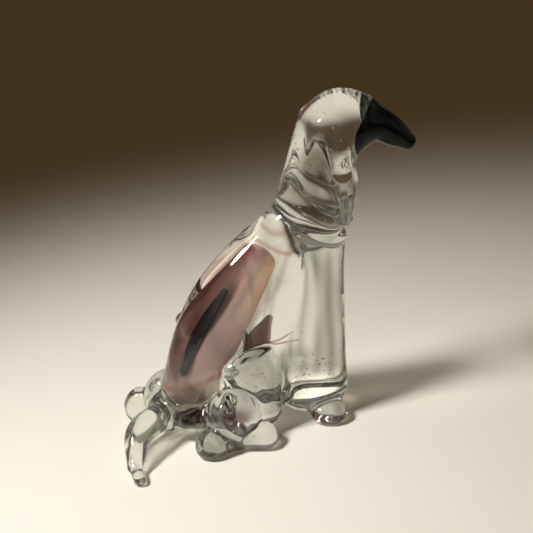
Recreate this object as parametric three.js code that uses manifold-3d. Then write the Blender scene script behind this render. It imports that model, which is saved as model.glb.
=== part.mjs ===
// A sitting long-haired hound, flameworked from clear glass, with a black glass face and an amethyst
// core inside its back. Every gather of glass is its own solid, laid against its neighbours with a
// small even gap along each fused joint.
// Millimetres. The hound faces +X, its left side is +Y, up is +Z, and the floor is z = 0.
import * as THREE from "three";
import { mergeVertices } from "three/addons/utils/BufferGeometryUtils.js";
import Module from "manifold-3d";

// Fused joints
const JOINT_GAP = 0.3; // even gap between two gathers along their joint
const BITE = 1.6; // how far a gather is pushed into the one that carries it

// Chest and forelegs: one upright column
const CHEST_HEIGHT = 32;
const CHEST_LEAN = 1.2; // the column's top stands this far ahead of its foot
const CHEST_TOP_WIDTH = 8;
const CHEST_TOP_DEPTH = 8.2;
const CHEST_WIDTH = 10.4; // across the middle of the column
const CHEST_DEPTH = 12;
const CHEST_FOOT_WIDTH = 9.6;
const CHEST_FOOT_DEPTH = 10.4;
const CHEST_FOOT_HEIGHT = 4.2; // the foot starts to round in at this height
const CHEST_FOOT_CAP = 4.0; // and its round end reaches this far down
const CHEST_BOW = 0.9; // the column bows this far back at its middle

// Front paws
const PAW_LENGTH = 6.6;
const PAW_WIDTH = 5.2;
const PAW_HEIGHT = 4.2;
const PAW_SPREAD = 9.6; // between the middles of the two paws
const PAW_REACH = 1.2; // the paws' middle ahead of the column's foot

// Back: a thick leaning gather from the shoulders to the rump
const SHOULDER_BEHIND = 4.6; // behind the column's foot
const SHOULDER_HEIGHT = 36.5;
const RUMP_BEHIND = 23.2;
const RUMP_HEIGHT = 7;
const BACK_ARCH = 2.9; // how far the back bows out from a straight line
const SHOULDER_RADIUS = 4.2;
const BACK_RADIUS = 6.2;
const RUMP_RADIUS = 4.8;
const BACK_FLATNESS = 0.5; // the back is this much narrower across than it is deep

// Belly: the web of glass between the back and the column
const BELLY_WIDTH = 7.6;
const BELLY_FOOT_DEPTH = 16;
const BELLY_TOP_DEPTH = 8;
const BELLY_FOOT_BEHIND = 11.5; // behind the column's foot
const BELLY_FOOT_HEIGHT = 7.5;
const BELLY_TOP_BEHIND = 6.5;
const BELLY_TOP_HEIGHT = 28;
const BELLY_FOOT_CAP = 2.6; // how far the web's lower end rounds down

// Amethyst inside the back
const CORE_TOP_HEIGHT = 31; // height at which the core starts below the shoulders
const CORE_DEPTH = 8.2;
const CORE_WIDTH = 6.4;
const CORE_TAPER = 3.2; // the core's upper end is this much thinner
const STRINGER_DIAMETER = 2.6; // at its thickest
const STRINGER_END_DIAMETER = 1.2;
const STRINGER_TOP_HEIGHT = 27;
const STRINGER_FOOT_HEIGHT = 13;
const STRINGER_BEHIND = 2.4; // behind the middle of the core
const STRINGER_ASIDE = 2.3; // to the right of the middle of the core
const WEB_TOP_HEIGHT = 20; // the web runs along the belly side of the back
const WEB_FOOT_HEIGHT = 14;
const WEB_REACH = 2.4; // how far its middle stands out from the back there
const WEB_DEPTH = 5.6;
const WEB_WIDTH = 2.6;
const WEB_END_DEPTH = 2;

// Seat: the pad under the rump that the hind legs and the tail grow from
const SEAT_LENGTH = 13;
const SEAT_WIDTH = 13;
const SEAT_HEIGHT = 7;
const SEAT_LIFT = 0.9; // daylight under the seat

// Hind legs: a thigh, a knee and a foot on each side
const HAUNCH_LENGTH = 9.8;
const HAUNCH_WIDTH = 6.6;
const HAUNCH_TOP_WIDTH = 5;
const HAUNCH_SPREAD = 7.8; // between the middles of the two thighs
const RIGHT_HAUNCH_HEIGHT = 14.4;
const RIGHT_HAUNCH_BEHIND = 12.4;
const LEFT_HAUNCH_HEIGHT = 20.6;
const LEFT_HAUNCH_BEHIND = 17.6;
const HAUNCH_LEAN = 1.6; // the top of a thigh stands this far behind its foot
const HAUNCH_EDGE = 1.4; // how far the top of a thigh rounds up from its edge
const HAUNCH_FOOT_CAP = 2.4; // and how far its foot rounds down
const KNEE_LENGTH = 9.8;
const KNEE_WIDTH = 8;
const KNEE_HEIGHT = 10.4;
const KNEE_OUT = 1.1; // a knee stands this far inside its foot
const RIGHT_FOOT_BEHIND = 17.4; // the middle of the right foot behind the column's foot
const RIGHT_FOOT_OUT = 7.8; // and to the right of the middle plane
const LEFT_FOOT_BEHIND = 25.4;
const LEFT_FOOT_OUT = 4.9;
const FOOT_LENGTH = 14.6;
const FOOT_BOW = 1.3; // the heel and the toes stand this far outside the instep
const HEEL_WIDTH = 5.0;
const INSTEP_WIDTH = 5.4;
const TOE_WIDTH = 5.2;
const RIGHT_HEEL_HEIGHT = 5.2;
const LEFT_HEEL_HEIGHT = 7.2;
const INSTEP_HEIGHT = 6.8;
const TOE_HEIGHT = 4.8;
const SOLE_SHARE = 0.4; // a foot's or paw's middle lies this share of its height above the floor

// Tail: a root knob, a bent rod that swings out to the right, and a pulled tip
const TAIL_ROOT_DIAMETER = 7.4;
const TAIL_ROOT_HEIGHT = 4.6;
const TAIL_THICKNESS = 4.8;
const TAIL_END_THICKNESS = 2.6;
const TAIL_BEND_BEHIND = 6.8; // the bend behind the tail's root
const TAIL_BEND_ASIDE = 5.0; // the bend to the right of the root
const TAIL_END_BEHIND = 9.2;
const TAIL_END_ASIDE = 10.2;
const TAIL_END_HEIGHT = 1.5;
const TAIL_TIP_LENGTH = 3.2;
const TAIL_TIP_DIAMETER = 2.0;

// Neck
const NECK_BASE_BEHIND = 1.9;
const NECK_BASE_HEIGHT = 34;
const NECK_BASE_RADIUS = 4.2;
const NECK_TOP_BEHIND = 1.4; // the neck ends this far behind the skull's middle
const NECK_TOP_RADIUS = 4.6;

// Mane: wraps of long coat round the neck, each hanging lower at the chest than at the nape
const MANE_TIERS = 4;
const MANE_NAPE_BELOW = 21.4; // lower edge of the lowest wrap at the nape, below the crown
const MANE_PITCH = 3.2; // between one wrap and the next
const MANE_WRAP_HEIGHT = 5.2;
const MANE_WRAP_THICKNESS = 1.7;
const MANE_WIDTH = 11.4; // across the mane
const MANE_DEPTH = 11.4; // from nape to throat, at the top wrap
const MANE_FLARE = 0.5; // each wrap is this much deeper than the one above it
const MANE_DROP = 4.4; // how far a wrap falls from the nape to the throat
const MANE_SWEEP = 1; // the larger, the later the wrap starts to fall

// Head
const CROWN_HEIGHT = 59.2;
const SKULL_LENGTH = 11.6;
const SKULL_WIDTH = 10.8;
const SKULL_HEIGHT = 13;
const SKULL_AHEAD = 3.6; // the skull's middle ahead of the column's foot
const SKULL_TIP = 0.4; // the crown leans forward by this angle
const FACE_TURN = 0.35; // the face is turned to the right by this angle
const BROW_DIAMETER = 6.6; // the brow swells out of the skull behind the mask
const BROW_AHEAD = 3.2; // the brow's middle ahead of the skull's
const BROW_BELOW = 4.1; // below the crown

// Black mask and muzzle: each section ahead of the mask's root and below the crown
const MASK_BITE = 1.2; // the mask's root lies this far inside the front of the skull
const MASK_BELOW = 5.7;
const MASK_DEPTH = 8.8;
const MASK_WIDTH = 8.6;
const MASK_BULGE = 1.4; // how far the mask bulges back into the skull
const MUZZLE_STOP_AHEAD = 2.6;
const MUZZLE_STOP_BELOW = 6.2;
const MUZZLE_STOP_DEPTH = 5.8;
const MUZZLE_STOP_WIDTH = 5.6;
const MUZZLE_BRIDGE_AHEAD = 5;
const MUZZLE_BRIDGE_BELOW = 7.6;
const MUZZLE_BRIDGE_DEPTH = 4.6;
const MUZZLE_BRIDGE_WIDTH = 4.2;
const MUZZLE_TIP_AHEAD = 7.2;
const MUZZLE_TIP_BELOW = 9;
const MUZZLE_TIP_DEPTH = 2.8;
const MUZZLE_TIP_WIDTH = 2.6;

// Ears
const EAR_LENGTH = 17;
const EAR_TOP_BELOW = 5.2; // the ear's root below the crown
const EAR_ROOT_BEHIND = 3.6; // the ear's root behind the skull's middle
const EAR_ROOT_WIDTH = 4.2;
const EAR_WIDTH = 6.4;
const EAR_FALL_WIDTH = 4.8; // two thirds of the way down
const EAR_FALL_AHEAD = 2.4; // ahead of the root there
const EAR_TIP_WIDTH = 2.6;
const EAR_TIP_AHEAD = 3.1;
const EAR_THICKNESS = 2.8;
const EAR_TIP_THICKNESS = 2.2;
const EAR_ROOT_TUCK = 3; // how far the ear's root is pressed into the head
const EAR_TUCK = 1.9; // and how far the ear is pressed into the mane
const EAR_TILT = 0.35; // the front edge of an ear stands out from the head by this angle
const EAR_PLEATS = 4; // fine ridges on the outside of each ear, towards its tip
const EAR_PLEAT_DEPTH = 0.2;

const RIGHT = -1;
const LEFT = 1;
const FORWARD = new THREE.Vector3(1, 0, 0);
const SIDEWAYS = new THREE.Vector3(0, 1, 0);
const UPWARD = new THREE.Vector3(0, 0, 1);

const clearGlass = { color: 0xe9eee6, roughness: 0.03, metalness: 0, transparent: true, opacity: 0.45 };
const blackGlass = { color: 0x0c0a0b, roughness: 0.05, metalness: 0 };
const lilacGlass = { color: 0x9a7a80, roughness: 0.05, metalness: 0, transparent: true, opacity: 0.8 };
const purpleGlass = { color: 0x35242f, roughness: 0.05, metalness: 0 };

const wasm = await Module();
wasm.setup();

// Joins closed rings of points into one skin that ends in a point at each end.
function skin(firstPoint, rings, lastPoint) {
  const sides = rings[0].length;
  const points = [firstPoint, ...rings.flat(), lastPoint];
  const last = points.length - 1;
  const at = (ring, side) => 1 + ring * sides + (side % sides);
  const faces = [];
  for (let side = 0; side < sides; side += 1) {
    faces.push(0, at(0, side + 1), at(0, side));
    for (let ring = 0; ring + 1 < rings.length; ring += 1) {
      faces.push(at(ring, side), at(ring, side + 1), at(ring + 1, side + 1));
      faces.push(at(ring, side), at(ring + 1, side + 1), at(ring + 1, side));
    }
    faces.push(last, at(rings.length - 1, side), at(rings.length - 1, side + 1));
  }
  const geometry = new THREE.BufferGeometry().setFromPoints(points);
  geometry.setIndex(faces);
  return geometry;
}

// A closed three.js geometry as a solid that can be cut.
function solidOf(geometry) {
  const bare = geometry.clone();
  bare.deleteAttribute("normal");
  bare.deleteAttribute("uv");
  const merged = mergeVertices(bare, 1e-4);
  const mesh = new wasm.Mesh({
    numProp: 3,
    vertProperties: new Float32Array(merged.attributes.position.array),
    triVerts: new Uint32Array(merged.index.array),
  });
  return new wasm.Manifold(mesh);
}

function geometryOf(solid) {
  const mesh = solid.getMesh();
  const geometry = new THREE.BufferGeometry();
  geometry.setAttribute("position", new THREE.BufferAttribute(mesh.vertProperties, 3));
  geometry.setIndex(new THREE.BufferAttribute(mesh.triVerts, 1));
  geometry.computeVertexNormals();
  return geometry;
}

// A gather of hot glass: an oval section carried along a path, with a round cap at each end.
// `sizes` holds [half across, half through] at even steps along the path; `across` is the direction
// of the first of them. A cap is as long as the section is thick unless `startCap` or `endCap` says
// otherwise, and `ripple(turn, along)` may push the skin in or out.
function gather(path, sizes, options = {}) {
  const { across = SIDEWAYS, sides = 18, steps = 8, capSteps = 4, ripple = () => 0 } = options;
  const sizeCurve = new THREE.SplineCurve(sizes.map(([wide, thick]) => new THREE.Vector2(wide, thick)));
  const capLength = (along, grow) => {
    const size = sizeCurve.getPoint(along);
    const stated = along === 0 ? options.startCap : options.endCap;
    return (stated ?? (size.x + size.y) / 2) + grow;
  };
  return (grow) => {
    const ringAt = (along, shift, scale) => {
      const centre = path.getPoint(along);
      const ahead = path.getTangent(along);
      const side = across.clone().addScaledVector(ahead, -ahead.dot(across)).normalize();
      const normal = new THREE.Vector3().crossVectors(ahead, side);
      const size = sizeCurve.getPoint(along);
      centre.addScaledVector(ahead, shift * capLength(along, grow));
      return Array.from({ length: sides }, (_, index) => {
        const turn = (2 * Math.PI * index) / sides;
        const wave = ripple(turn, along);
        const wide = (size.x + grow + wave) * scale * Math.cos(turn);
        const thick = (size.y + grow + wave) * scale * Math.sin(turn);
        return centre.clone().addScaledVector(side, wide).addScaledVector(normal, thick);
      });
    };
    const tipAt = (along, sign) => {
      const ahead = path.getTangent(along);
      return path.getPoint(along).addScaledVector(ahead, sign * capLength(along, grow));
    };
    const rings = [];
    for (let step = 1; step < capSteps; step += 1) {
      const lift = (Math.PI / 2) * (step / capSteps);
      rings.push(ringAt(0, -Math.cos(lift), Math.sin(lift)));
    }
    for (let step = 0; step <= steps; step += 1) {
      rings.push(ringAt(step / steps, 0, 1));
    }
    for (let step = capSteps - 1; step > 0; step -= 1) {
      const lift = (Math.PI / 2) * (step / capSteps);
      rings.push(ringAt(1, Math.cos(lift), Math.sin(lift)));
    }
    return solidOf(skin(tipAt(0, -1), rings, tipAt(1, 1)));
  };
}

// A rounded lump of the given length, width and height about its middle, tipped about the Y axis.
function lump(middle, length, width, height, tip = 0) {
  return (grow) => {
    const ball = new THREE.SphereGeometry(1, 16, 10);
    ball.rotateX(Math.PI / 2);
    ball.scale(length / 2 + grow, width / 2 + grow, height / 2 + grow);
    ball.rotateY(tip);
    ball.translate(middle.x, middle.y, middle.z);
    return solidOf(ball);
  };
}

const at = (x, y, z) => new THREE.Vector3(x, y, z);

// A path in the hound's own middle plane from one point to another, bowed out by `bow` halfway.
function bowed(from, to, bow) {
  const middle = from.clone().add(to).multiplyScalar(0.5);
  const along = to.clone().sub(from).normalize();
  const outward = new THREE.Vector3().crossVectors(SIDEWAYS, along).negate();
  return new THREE.QuadraticBezierCurve3(from, middle.addScaledVector(outward, 2 * bow), to);
}

// The point of a path nearest to the given height.
function atHeight(path, height) {
  const points = path.getPoints(60);
  const above = (point) => Math.abs(point.z - height);
  return points.reduce((best, point) => (above(point) < above(best) ? point : best));
}

// Landmarks
const chestFoot = at(0, 0, CHEST_FOOT_HEIGHT);
const chestTop = at(CHEST_LEAN, 0, CHEST_HEIGHT);
const shoulder = at(-SHOULDER_BEHIND, 0, SHOULDER_HEIGHT);
const rump = at(-RUMP_BEHIND, 0, RUMP_HEIGHT);
const backPath = bowed(rump, shoulder, BACK_ARCH);
const skullMiddle = at(SKULL_AHEAD, 0, CROWN_HEIGHT - SKULL_HEIGHT / 2);
const neckBase = at(-NECK_BASE_BEHIND, 0, NECK_BASE_HEIGHT);
const neckTop = at(SKULL_AHEAD - NECK_TOP_BEHIND, 0, skullMiddle.z);
const neckPath = new THREE.LineCurve3(neckBase, neckTop);
const tailRoot = at(-RUMP_BEHIND - RUMP_RADIUS + BITE, 0, TAIL_ROOT_HEIGHT);

// A point of the turned face, ahead of the skull's middle and below the crown.
function onFace(ahead, below) {
  const straight = at(ahead, 0, CROWN_HEIGHT - below);
  return straight.applyAxisAngle(UPWARD, RIGHT * FACE_TURN).add(at(SKULL_AHEAD, 0, 0));
}

// The mask and the muzzle: from inside the skull, past the stop, down to the tip.
function blackMuzzle() {
  const root = SKULL_LENGTH / 2 - MASK_BITE;
  const path = new THREE.CatmullRomCurve3([
    onFace(root, MASK_BELOW),
    onFace(root + MUZZLE_STOP_AHEAD, MUZZLE_STOP_BELOW),
    onFace(root + MUZZLE_BRIDGE_AHEAD, MUZZLE_BRIDGE_BELOW),
    onFace(root + MUZZLE_TIP_AHEAD, MUZZLE_TIP_BELOW),
  ]);
  const sizes = [
    [MASK_WIDTH / 2, MASK_DEPTH / 2],
    [MUZZLE_STOP_WIDTH / 2, MUZZLE_STOP_DEPTH / 2],
    [MUZZLE_BRIDGE_WIDTH / 2, MUZZLE_BRIDGE_DEPTH / 2],
    [MUZZLE_TIP_WIDTH / 2, MUZZLE_TIP_DEPTH / 2],
  ];
  const across = SIDEWAYS.clone().applyAxisAngle(UPWARD, RIGHT * FACE_TURN);
  return gather(path, sizes, { across, steps: 8, startCap: MASK_BULGE });
}

// The skull, with the brow swelling out of it behind the mask.
function skull() {
  const head = lump(skullMiddle, SKULL_LENGTH, SKULL_WIDTH, SKULL_HEIGHT, SKULL_TIP);
  const brow = lump(onFace(BROW_AHEAD, BROW_BELOW), BROW_DIAMETER, BROW_DIAMETER, BROW_DIAMETER);
  return (grow) => head(grow).add(brow(grow));
}

function neck() {
  const sizes = [[NECK_BASE_RADIUS, NECK_BASE_RADIUS], [NECK_TOP_RADIUS, NECK_TOP_RADIUS]];
  return gather(neckPath, sizes, { steps: 4 });
}

// One wrap of the mane: an oval rope laid round the neck, its lower edge falling towards the throat.
function maneWrap(tier) {
  const sides = 22;
  const ropeSides = 6;
  const napeHeight = CROWN_HEIGHT - MANE_NAPE_BELOW + MANE_PITCH * (MANE_TIERS - tier);
  const depth = MANE_DEPTH + MANE_FLARE * (tier - 1);
  return (grow) => {
    const points = [];
    for (let step = 0; step < sides; step += 1) {
      const round = (2 * Math.PI * step) / sides;
      const towardsThroat = (1 - Math.cos(round)) / 2;
      const fall = MANE_DROP * Math.sin((Math.PI / 2) * towardsThroat) ** MANE_SWEEP;
      const middle = napeHeight - fall + MANE_WRAP_HEIGHT / 2;
      for (let edge = 0; edge < ropeSides; edge += 1) {
        const turn = (2 * Math.PI * edge) / ropeSides;
        const outward = (MANE_WRAP_THICKNESS + grow) * Math.cos(turn) - MANE_WRAP_THICKNESS;
        const height = middle + (MANE_WRAP_HEIGHT / 2 + grow) * Math.sin(turn);
        const axis = neckBase.clone().lerp(neckTop, (height - neckBase.z) / (neckTop.z - neckBase.z));
        const x = axis.x - (depth / 2 + outward) * Math.cos(round);
        const y = -(MANE_WIDTH / 2 + outward) * Math.sin(round);
        points.push(at(x, y, height));
      }
    }
    const index = (step, edge) => (step % sides) * ropeSides + (edge % ropeSides);
    const faces = [];
    for (let step = 0; step < sides; step += 1) {
      for (let edge = 0; edge < ropeSides; edge += 1) {
        faces.push(index(step, edge), index(step + 1, edge), index(step + 1, edge + 1));
        faces.push(index(step, edge), index(step + 1, edge + 1), index(step, edge + 1));
      }
    }
    const rope = new THREE.BufferGeometry().setFromPoints(points);
    rope.setIndex(faces);
    return solidOf(rope);
  };
}

function ear(side) {
  const outside = side * (SKULL_WIDTH / 2 + EAR_THICKNESS / 2 - EAR_ROOT_TUCK);
  const hang = side * (MANE_WIDTH / 2 + EAR_THICKNESS / 2 - EAR_TUCK);
  const rootHeight = CROWN_HEIGHT - EAR_TOP_BELOW;
  const root = SKULL_AHEAD - EAR_ROOT_BEHIND;
  const drop = EAR_LENGTH - EAR_TIP_WIDTH / 2;
  const path = new THREE.CatmullRomCurve3([
    at(root, outside, rootHeight),
    at(root, hang, rootHeight - drop / 3),
    at(root + EAR_FALL_AHEAD, hang, rootHeight - (drop * 2) / 3),
    at(root + EAR_TIP_AHEAD, hang, rootHeight - drop),
  ]);
  const sizes = [
    [EAR_ROOT_WIDTH / 2, EAR_THICKNESS / 2],
    [EAR_WIDTH / 2, EAR_THICKNESS / 2],
    [EAR_FALL_WIDTH / 2, EAR_THICKNESS / 2],
    [EAR_TIP_WIDTH / 2, EAR_TIP_THICKNESS / 2],
  ];
  const ripple = (turn, along) => EAR_PLEAT_DEPTH * along ** 2 * Math.cos(2 * EAR_PLEATS * turn);
  const across = FORWARD.clone().applyAxisAngle(UPWARD, side * EAR_TILT);
  return gather(path, sizes, { across, sides: 24, steps: 5, capSteps: 2, ripple });
}

function amethystCore() {
  const top = atHeight(backPath, CORE_TOP_HEIGHT);
  const path = new THREE.CatmullRomCurve3([
    top,
    atHeight(backPath, (CORE_TOP_HEIGHT + RUMP_HEIGHT) / 2),
    rump,
  ]);
  const sizes = [
    [(CORE_WIDTH - CORE_TAPER) / 2, (CORE_DEPTH - CORE_TAPER) / 2],
    [CORE_WIDTH / 2, CORE_DEPTH / 2],
    [CORE_WIDTH / 2, CORE_DEPTH / 2],
  ];
  return gather(path, sizes, { sides: 12, steps: 6, capSteps: 3 });
}

// The stringer lies in the right side of the core, towards the back, and thins out at both ends.
function amethystStringer() {
  const beside = (height) => atHeight(backPath, height).add(at(-STRINGER_BEHIND, RIGHT * STRINGER_ASIDE, 0));
  const path = new THREE.CatmullRomCurve3([
    beside(STRINGER_TOP_HEIGHT),
    beside((STRINGER_TOP_HEIGHT + STRINGER_FOOT_HEIGHT) / 2),
    beside(STRINGER_FOOT_HEIGHT),
  ]);
  const [end, middle] = [STRINGER_END_DIAMETER / 2, STRINGER_DIAMETER / 2];
  return gather(path, [[end, end], [middle, middle], [end, end]], { sides: 8, steps: 6, capSteps: 2 });
}

// The web: a thin flap of the same glass along the belly side of the back.
function amethystWeb() {
  const out = at(BACK_RADIUS - BACK_ARCH + WEB_REACH, 0, 0);
  const straightBack = new THREE.LineCurve3(rump, shoulder);
  const path = new THREE.LineCurve3(
    atHeight(straightBack, WEB_FOOT_HEIGHT).add(out),
    atHeight(straightBack, WEB_TOP_HEIGHT).add(out),
  );
  const sizes = [
    [WEB_WIDTH / 2, WEB_END_DEPTH / 2],
    [WEB_WIDTH / 2, WEB_DEPTH / 2],
    [WEB_WIDTH / 2, WEB_END_DEPTH / 2],
  ];
  return gather(path, sizes, { sides: 10, steps: 5, capSteps: 3 });
}

function backCasing() {
  const sizes = [
    [RUMP_RADIUS - BACK_FLATNESS, RUMP_RADIUS],
    [BACK_RADIUS - BACK_FLATNESS, BACK_RADIUS],
    [SHOULDER_RADIUS - BACK_FLATNESS / 2, SHOULDER_RADIUS],
  ];
  return gather(backPath, sizes, { sides: 18, steps: 9 });
}

function chestColumn() {
  const sizes = [
    [CHEST_FOOT_WIDTH / 2, CHEST_FOOT_DEPTH / 2],
    [CHEST_WIDTH / 2, CHEST_DEPTH / 2],
    [CHEST_TOP_WIDTH / 2, CHEST_TOP_DEPTH / 2],
  ];
  const path = bowed(chestFoot, chestTop, CHEST_BOW);
  return gather(path, sizes, { sides: 20, steps: 6, startCap: CHEST_FOOT_CAP });
}

function bellyGather() {
  const foot = at(-BELLY_FOOT_BEHIND, 0, BELLY_FOOT_HEIGHT);
  const top = at(-BELLY_TOP_BEHIND, 0, BELLY_TOP_HEIGHT);
  const sizes = [[BELLY_WIDTH / 2, BELLY_FOOT_DEPTH / 2], [BELLY_WIDTH / 2, BELLY_TOP_DEPTH / 2]];
  return gather(new THREE.LineCurve3(foot, top), sizes, { sides: 14, steps: 4, startCap: BELLY_FOOT_CAP });
}

function frontPaw(side) {
  const middle = at(PAW_REACH, (side * PAW_SPREAD) / 2, PAW_HEIGHT * SOLE_SHARE);
  return lump(middle, PAW_LENGTH, PAW_WIDTH, PAW_HEIGHT);
}

function seatGather() {
  const middle = at(-RUMP_BEHIND + BITE, 0, SEAT_LIFT + SEAT_HEIGHT / 2);
  return lump(middle, SEAT_LENGTH, SEAT_WIDTH, SEAT_HEIGHT);
}

// A thigh: an upright slab that leans back as it rises and ends in a flat, slanting top.
function haunch(side, behind, height) {
  const aside = (side * HAUNCH_SPREAD) / 2;
  const foot = at(-behind, aside, SEAT_LIFT + HAUNCH_FOOT_CAP);
  const top = at(-behind - HAUNCH_LEAN, aside, height);
  const path = new THREE.QuadraticBezierCurve3(foot, at(-behind, aside, (foot.z + top.z) / 2), top);
  const sizes = [[HAUNCH_WIDTH / 2, HAUNCH_LENGTH / 2], [HAUNCH_TOP_WIDTH / 2, HAUNCH_LENGTH / 2]];
  return gather(path, sizes, { sides: 16, steps: 4, startCap: HAUNCH_FOOT_CAP, endCap: HAUNCH_EDGE });
}

function hindKnee(side, behind, out) {
  const middle = at(-behind, side * (out - KNEE_OUT), KNEE_HEIGHT / 2);
  return lump(middle, KNEE_LENGTH, KNEE_WIDTH, KNEE_HEIGHT);
}

function hindFoot(side, behind, out, heelHeight) {
  const instep = side * out;
  const lobe = instep + side * FOOT_BOW;
  const run = FOOT_LENGTH / 2 - HEEL_WIDTH / 2;
  const path = new THREE.CatmullRomCurve3([
    at(-behind - run, lobe, heelHeight * SOLE_SHARE),
    at(-behind, instep, INSTEP_HEIGHT * SOLE_SHARE),
    at(-behind + run, lobe, TOE_HEIGHT * SOLE_SHARE),
  ]);
  const sizes = [
    [HEEL_WIDTH / 2, heelHeight / 2],
    [INSTEP_WIDTH / 2, INSTEP_HEIGHT / 2],
    [TOE_WIDTH / 2, TOE_HEIGHT / 2],
  ];
  return gather(path, sizes, { sides: 14, steps: 7 });
}

const tailBend = tailRoot.clone().add(at(-TAIL_BEND_BEHIND, -TAIL_BEND_ASIDE, 0));
const tailEnd = at(tailRoot.x - TAIL_END_BEHIND, tailRoot.y - TAIL_END_ASIDE, TAIL_END_HEIGHT);

function tailRod() {
  const sizes = [
    [TAIL_THICKNESS / 2, TAIL_THICKNESS / 2],
    [TAIL_THICKNESS / 2, TAIL_THICKNESS / 2],
    [TAIL_END_THICKNESS / 2, TAIL_END_THICKNESS / 2],
  ];
  const path = new THREE.CatmullRomCurve3([tailRoot, tailBend, tailEnd]);
  return gather(path, sizes, { across: UPWARD, sides: 14, steps: 9 });
}

function tailTip() {
  const to = at(tailEnd.x, tailEnd.y - TAIL_TIP_LENGTH, TAIL_TIP_DIAMETER * SOLE_SHARE);
  const radius = TAIL_TIP_DIAMETER / 2;
  const sizes = [[radius, radius], [radius, radius]];
  const path = new THREE.LineCurve3(tailEnd, to);
  return gather(path, sizes, { across: UPWARD, sides: 12, steps: 2, capSteps: 3 });
}

// A slab below z = 0, wider and deeper than the hound, that levels whatever rests on the floor.
const floorSpan = 4 * CROWN_HEIGHT;
const floor = solidOf(new THREE.BoxGeometry(floorSpan, floorSpan, floorSpan).translate(0, 0, -floorSpan / 2));
const hound = new THREE.Group();
const placed = [];

// Lays one gather against all those placed before it, levels it on the floor and adds it to the hound.
function place(name, glass, shape) {
  let solid = shape(0).subtract(floor);
  for (const earlier of placed) {
    solid = solid.subtract(earlier(JOINT_GAP));
  }
  const bodies = solid.decompose();
  const body = bodies.reduce((best, next) => (next.volume() > best.volume() ? next : best));
  placed.push(shape);
  const mesh = new THREE.Mesh(geometryOf(body), new THREE.MeshStandardMaterial(glass));
  mesh.name = name;
  hound.add(mesh);
}

place("black_muzzle", blackGlass, blackMuzzle());
place("skull", clearGlass, skull());
place("neck_core", clearGlass, neck());
for (let tier = 1; tier <= MANE_TIERS; tier += 1) {
  place(`mane_tier_${tier}`, clearGlass, maneWrap(tier));
}
place("ear_right", clearGlass, ear(RIGHT));
place("ear_left", clearGlass, ear(LEFT));
place("seat_gather", clearGlass, seatGather());
place("amethyst_stringer", purpleGlass, amethystStringer());
place("amethyst_core", lilacGlass, amethystCore());
place("back_casing", clearGlass, backCasing());
place("amethyst_web", purpleGlass, amethystWeb());
place("chest_column", clearGlass, chestColumn());
place("front_paw_right", clearGlass, frontPaw(RIGHT));
place("front_paw_left", clearGlass, frontPaw(LEFT));
place("haunch_right", clearGlass, haunch(RIGHT, RIGHT_HAUNCH_BEHIND, RIGHT_HAUNCH_HEIGHT));
place("haunch_left", clearGlass, haunch(LEFT, LEFT_HAUNCH_BEHIND, LEFT_HAUNCH_HEIGHT));
place("belly_gather", clearGlass, bellyGather());
place("hind_knee_right", clearGlass, hindKnee(RIGHT, RIGHT_FOOT_BEHIND, RIGHT_FOOT_OUT));
place("hind_knee_left", clearGlass, hindKnee(LEFT, LEFT_FOOT_BEHIND, LEFT_FOOT_OUT));
place("hind_foot_right", clearGlass, hindFoot(RIGHT, RIGHT_FOOT_BEHIND, RIGHT_FOOT_OUT, RIGHT_HEEL_HEIGHT));
place("hind_foot_left", clearGlass, hindFoot(LEFT, LEFT_FOOT_BEHIND, LEFT_FOOT_OUT, LEFT_HEEL_HEIGHT));
place("tail_root", clearGlass, lump(tailRoot, TAIL_ROOT_DIAMETER, TAIL_ROOT_DIAMETER, TAIL_ROOT_DIAMETER));
place("tail_rod", clearGlass, tailRod());
place("tail_tip", clearGlass, tailTip());

// The part's origin is on the floor, under the middle of the whole hound.
const box = new THREE.Box3().setFromObject(hound);
hound.position.set(-(box.min.x + box.max.x) / 2, -(box.min.y + box.max.y) / 2, 0);
const part = new THREE.Group();
part.add(hound);

export default part;
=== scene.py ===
"""Dresses the glass hound: a sitting long-haired dog, flameworked in clear, black and amethyst glass.

Each gather of glass is a distance field, and the fields melt into one another with soft fillets, as hot
glass does. The melt gets one skin, which is then parted again along the joints, so every gather stays a
piece of its own inside one unbroken body of glass.
Sizes are millimetres in the hound's own frame, whose origin is under the middle of the chest column.
"""

import logging
import math
from collections.abc import Callable
from dataclasses import dataclass, field
from enum import Enum

import bpy
import numpy as np
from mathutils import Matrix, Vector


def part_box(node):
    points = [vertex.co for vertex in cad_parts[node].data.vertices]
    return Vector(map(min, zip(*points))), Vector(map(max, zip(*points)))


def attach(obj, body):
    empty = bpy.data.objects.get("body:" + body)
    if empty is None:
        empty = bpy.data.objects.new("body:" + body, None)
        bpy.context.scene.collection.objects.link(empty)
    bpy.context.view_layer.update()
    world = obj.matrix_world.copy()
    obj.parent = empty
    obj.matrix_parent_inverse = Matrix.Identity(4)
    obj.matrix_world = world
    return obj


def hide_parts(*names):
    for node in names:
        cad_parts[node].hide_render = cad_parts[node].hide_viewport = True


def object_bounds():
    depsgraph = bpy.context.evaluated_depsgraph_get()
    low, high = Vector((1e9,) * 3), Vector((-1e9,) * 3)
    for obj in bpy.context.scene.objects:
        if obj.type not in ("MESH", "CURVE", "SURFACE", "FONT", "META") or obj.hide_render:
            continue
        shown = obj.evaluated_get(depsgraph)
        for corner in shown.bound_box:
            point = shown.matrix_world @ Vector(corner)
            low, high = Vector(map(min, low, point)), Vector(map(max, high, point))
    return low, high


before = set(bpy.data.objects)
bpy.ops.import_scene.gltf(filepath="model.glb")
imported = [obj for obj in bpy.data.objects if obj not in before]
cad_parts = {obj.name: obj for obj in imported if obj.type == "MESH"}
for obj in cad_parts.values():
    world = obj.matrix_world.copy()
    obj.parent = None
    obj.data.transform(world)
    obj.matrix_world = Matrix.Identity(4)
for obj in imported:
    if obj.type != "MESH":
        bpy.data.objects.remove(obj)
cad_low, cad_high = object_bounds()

import openvdb
from mathutils import Matrix

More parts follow.
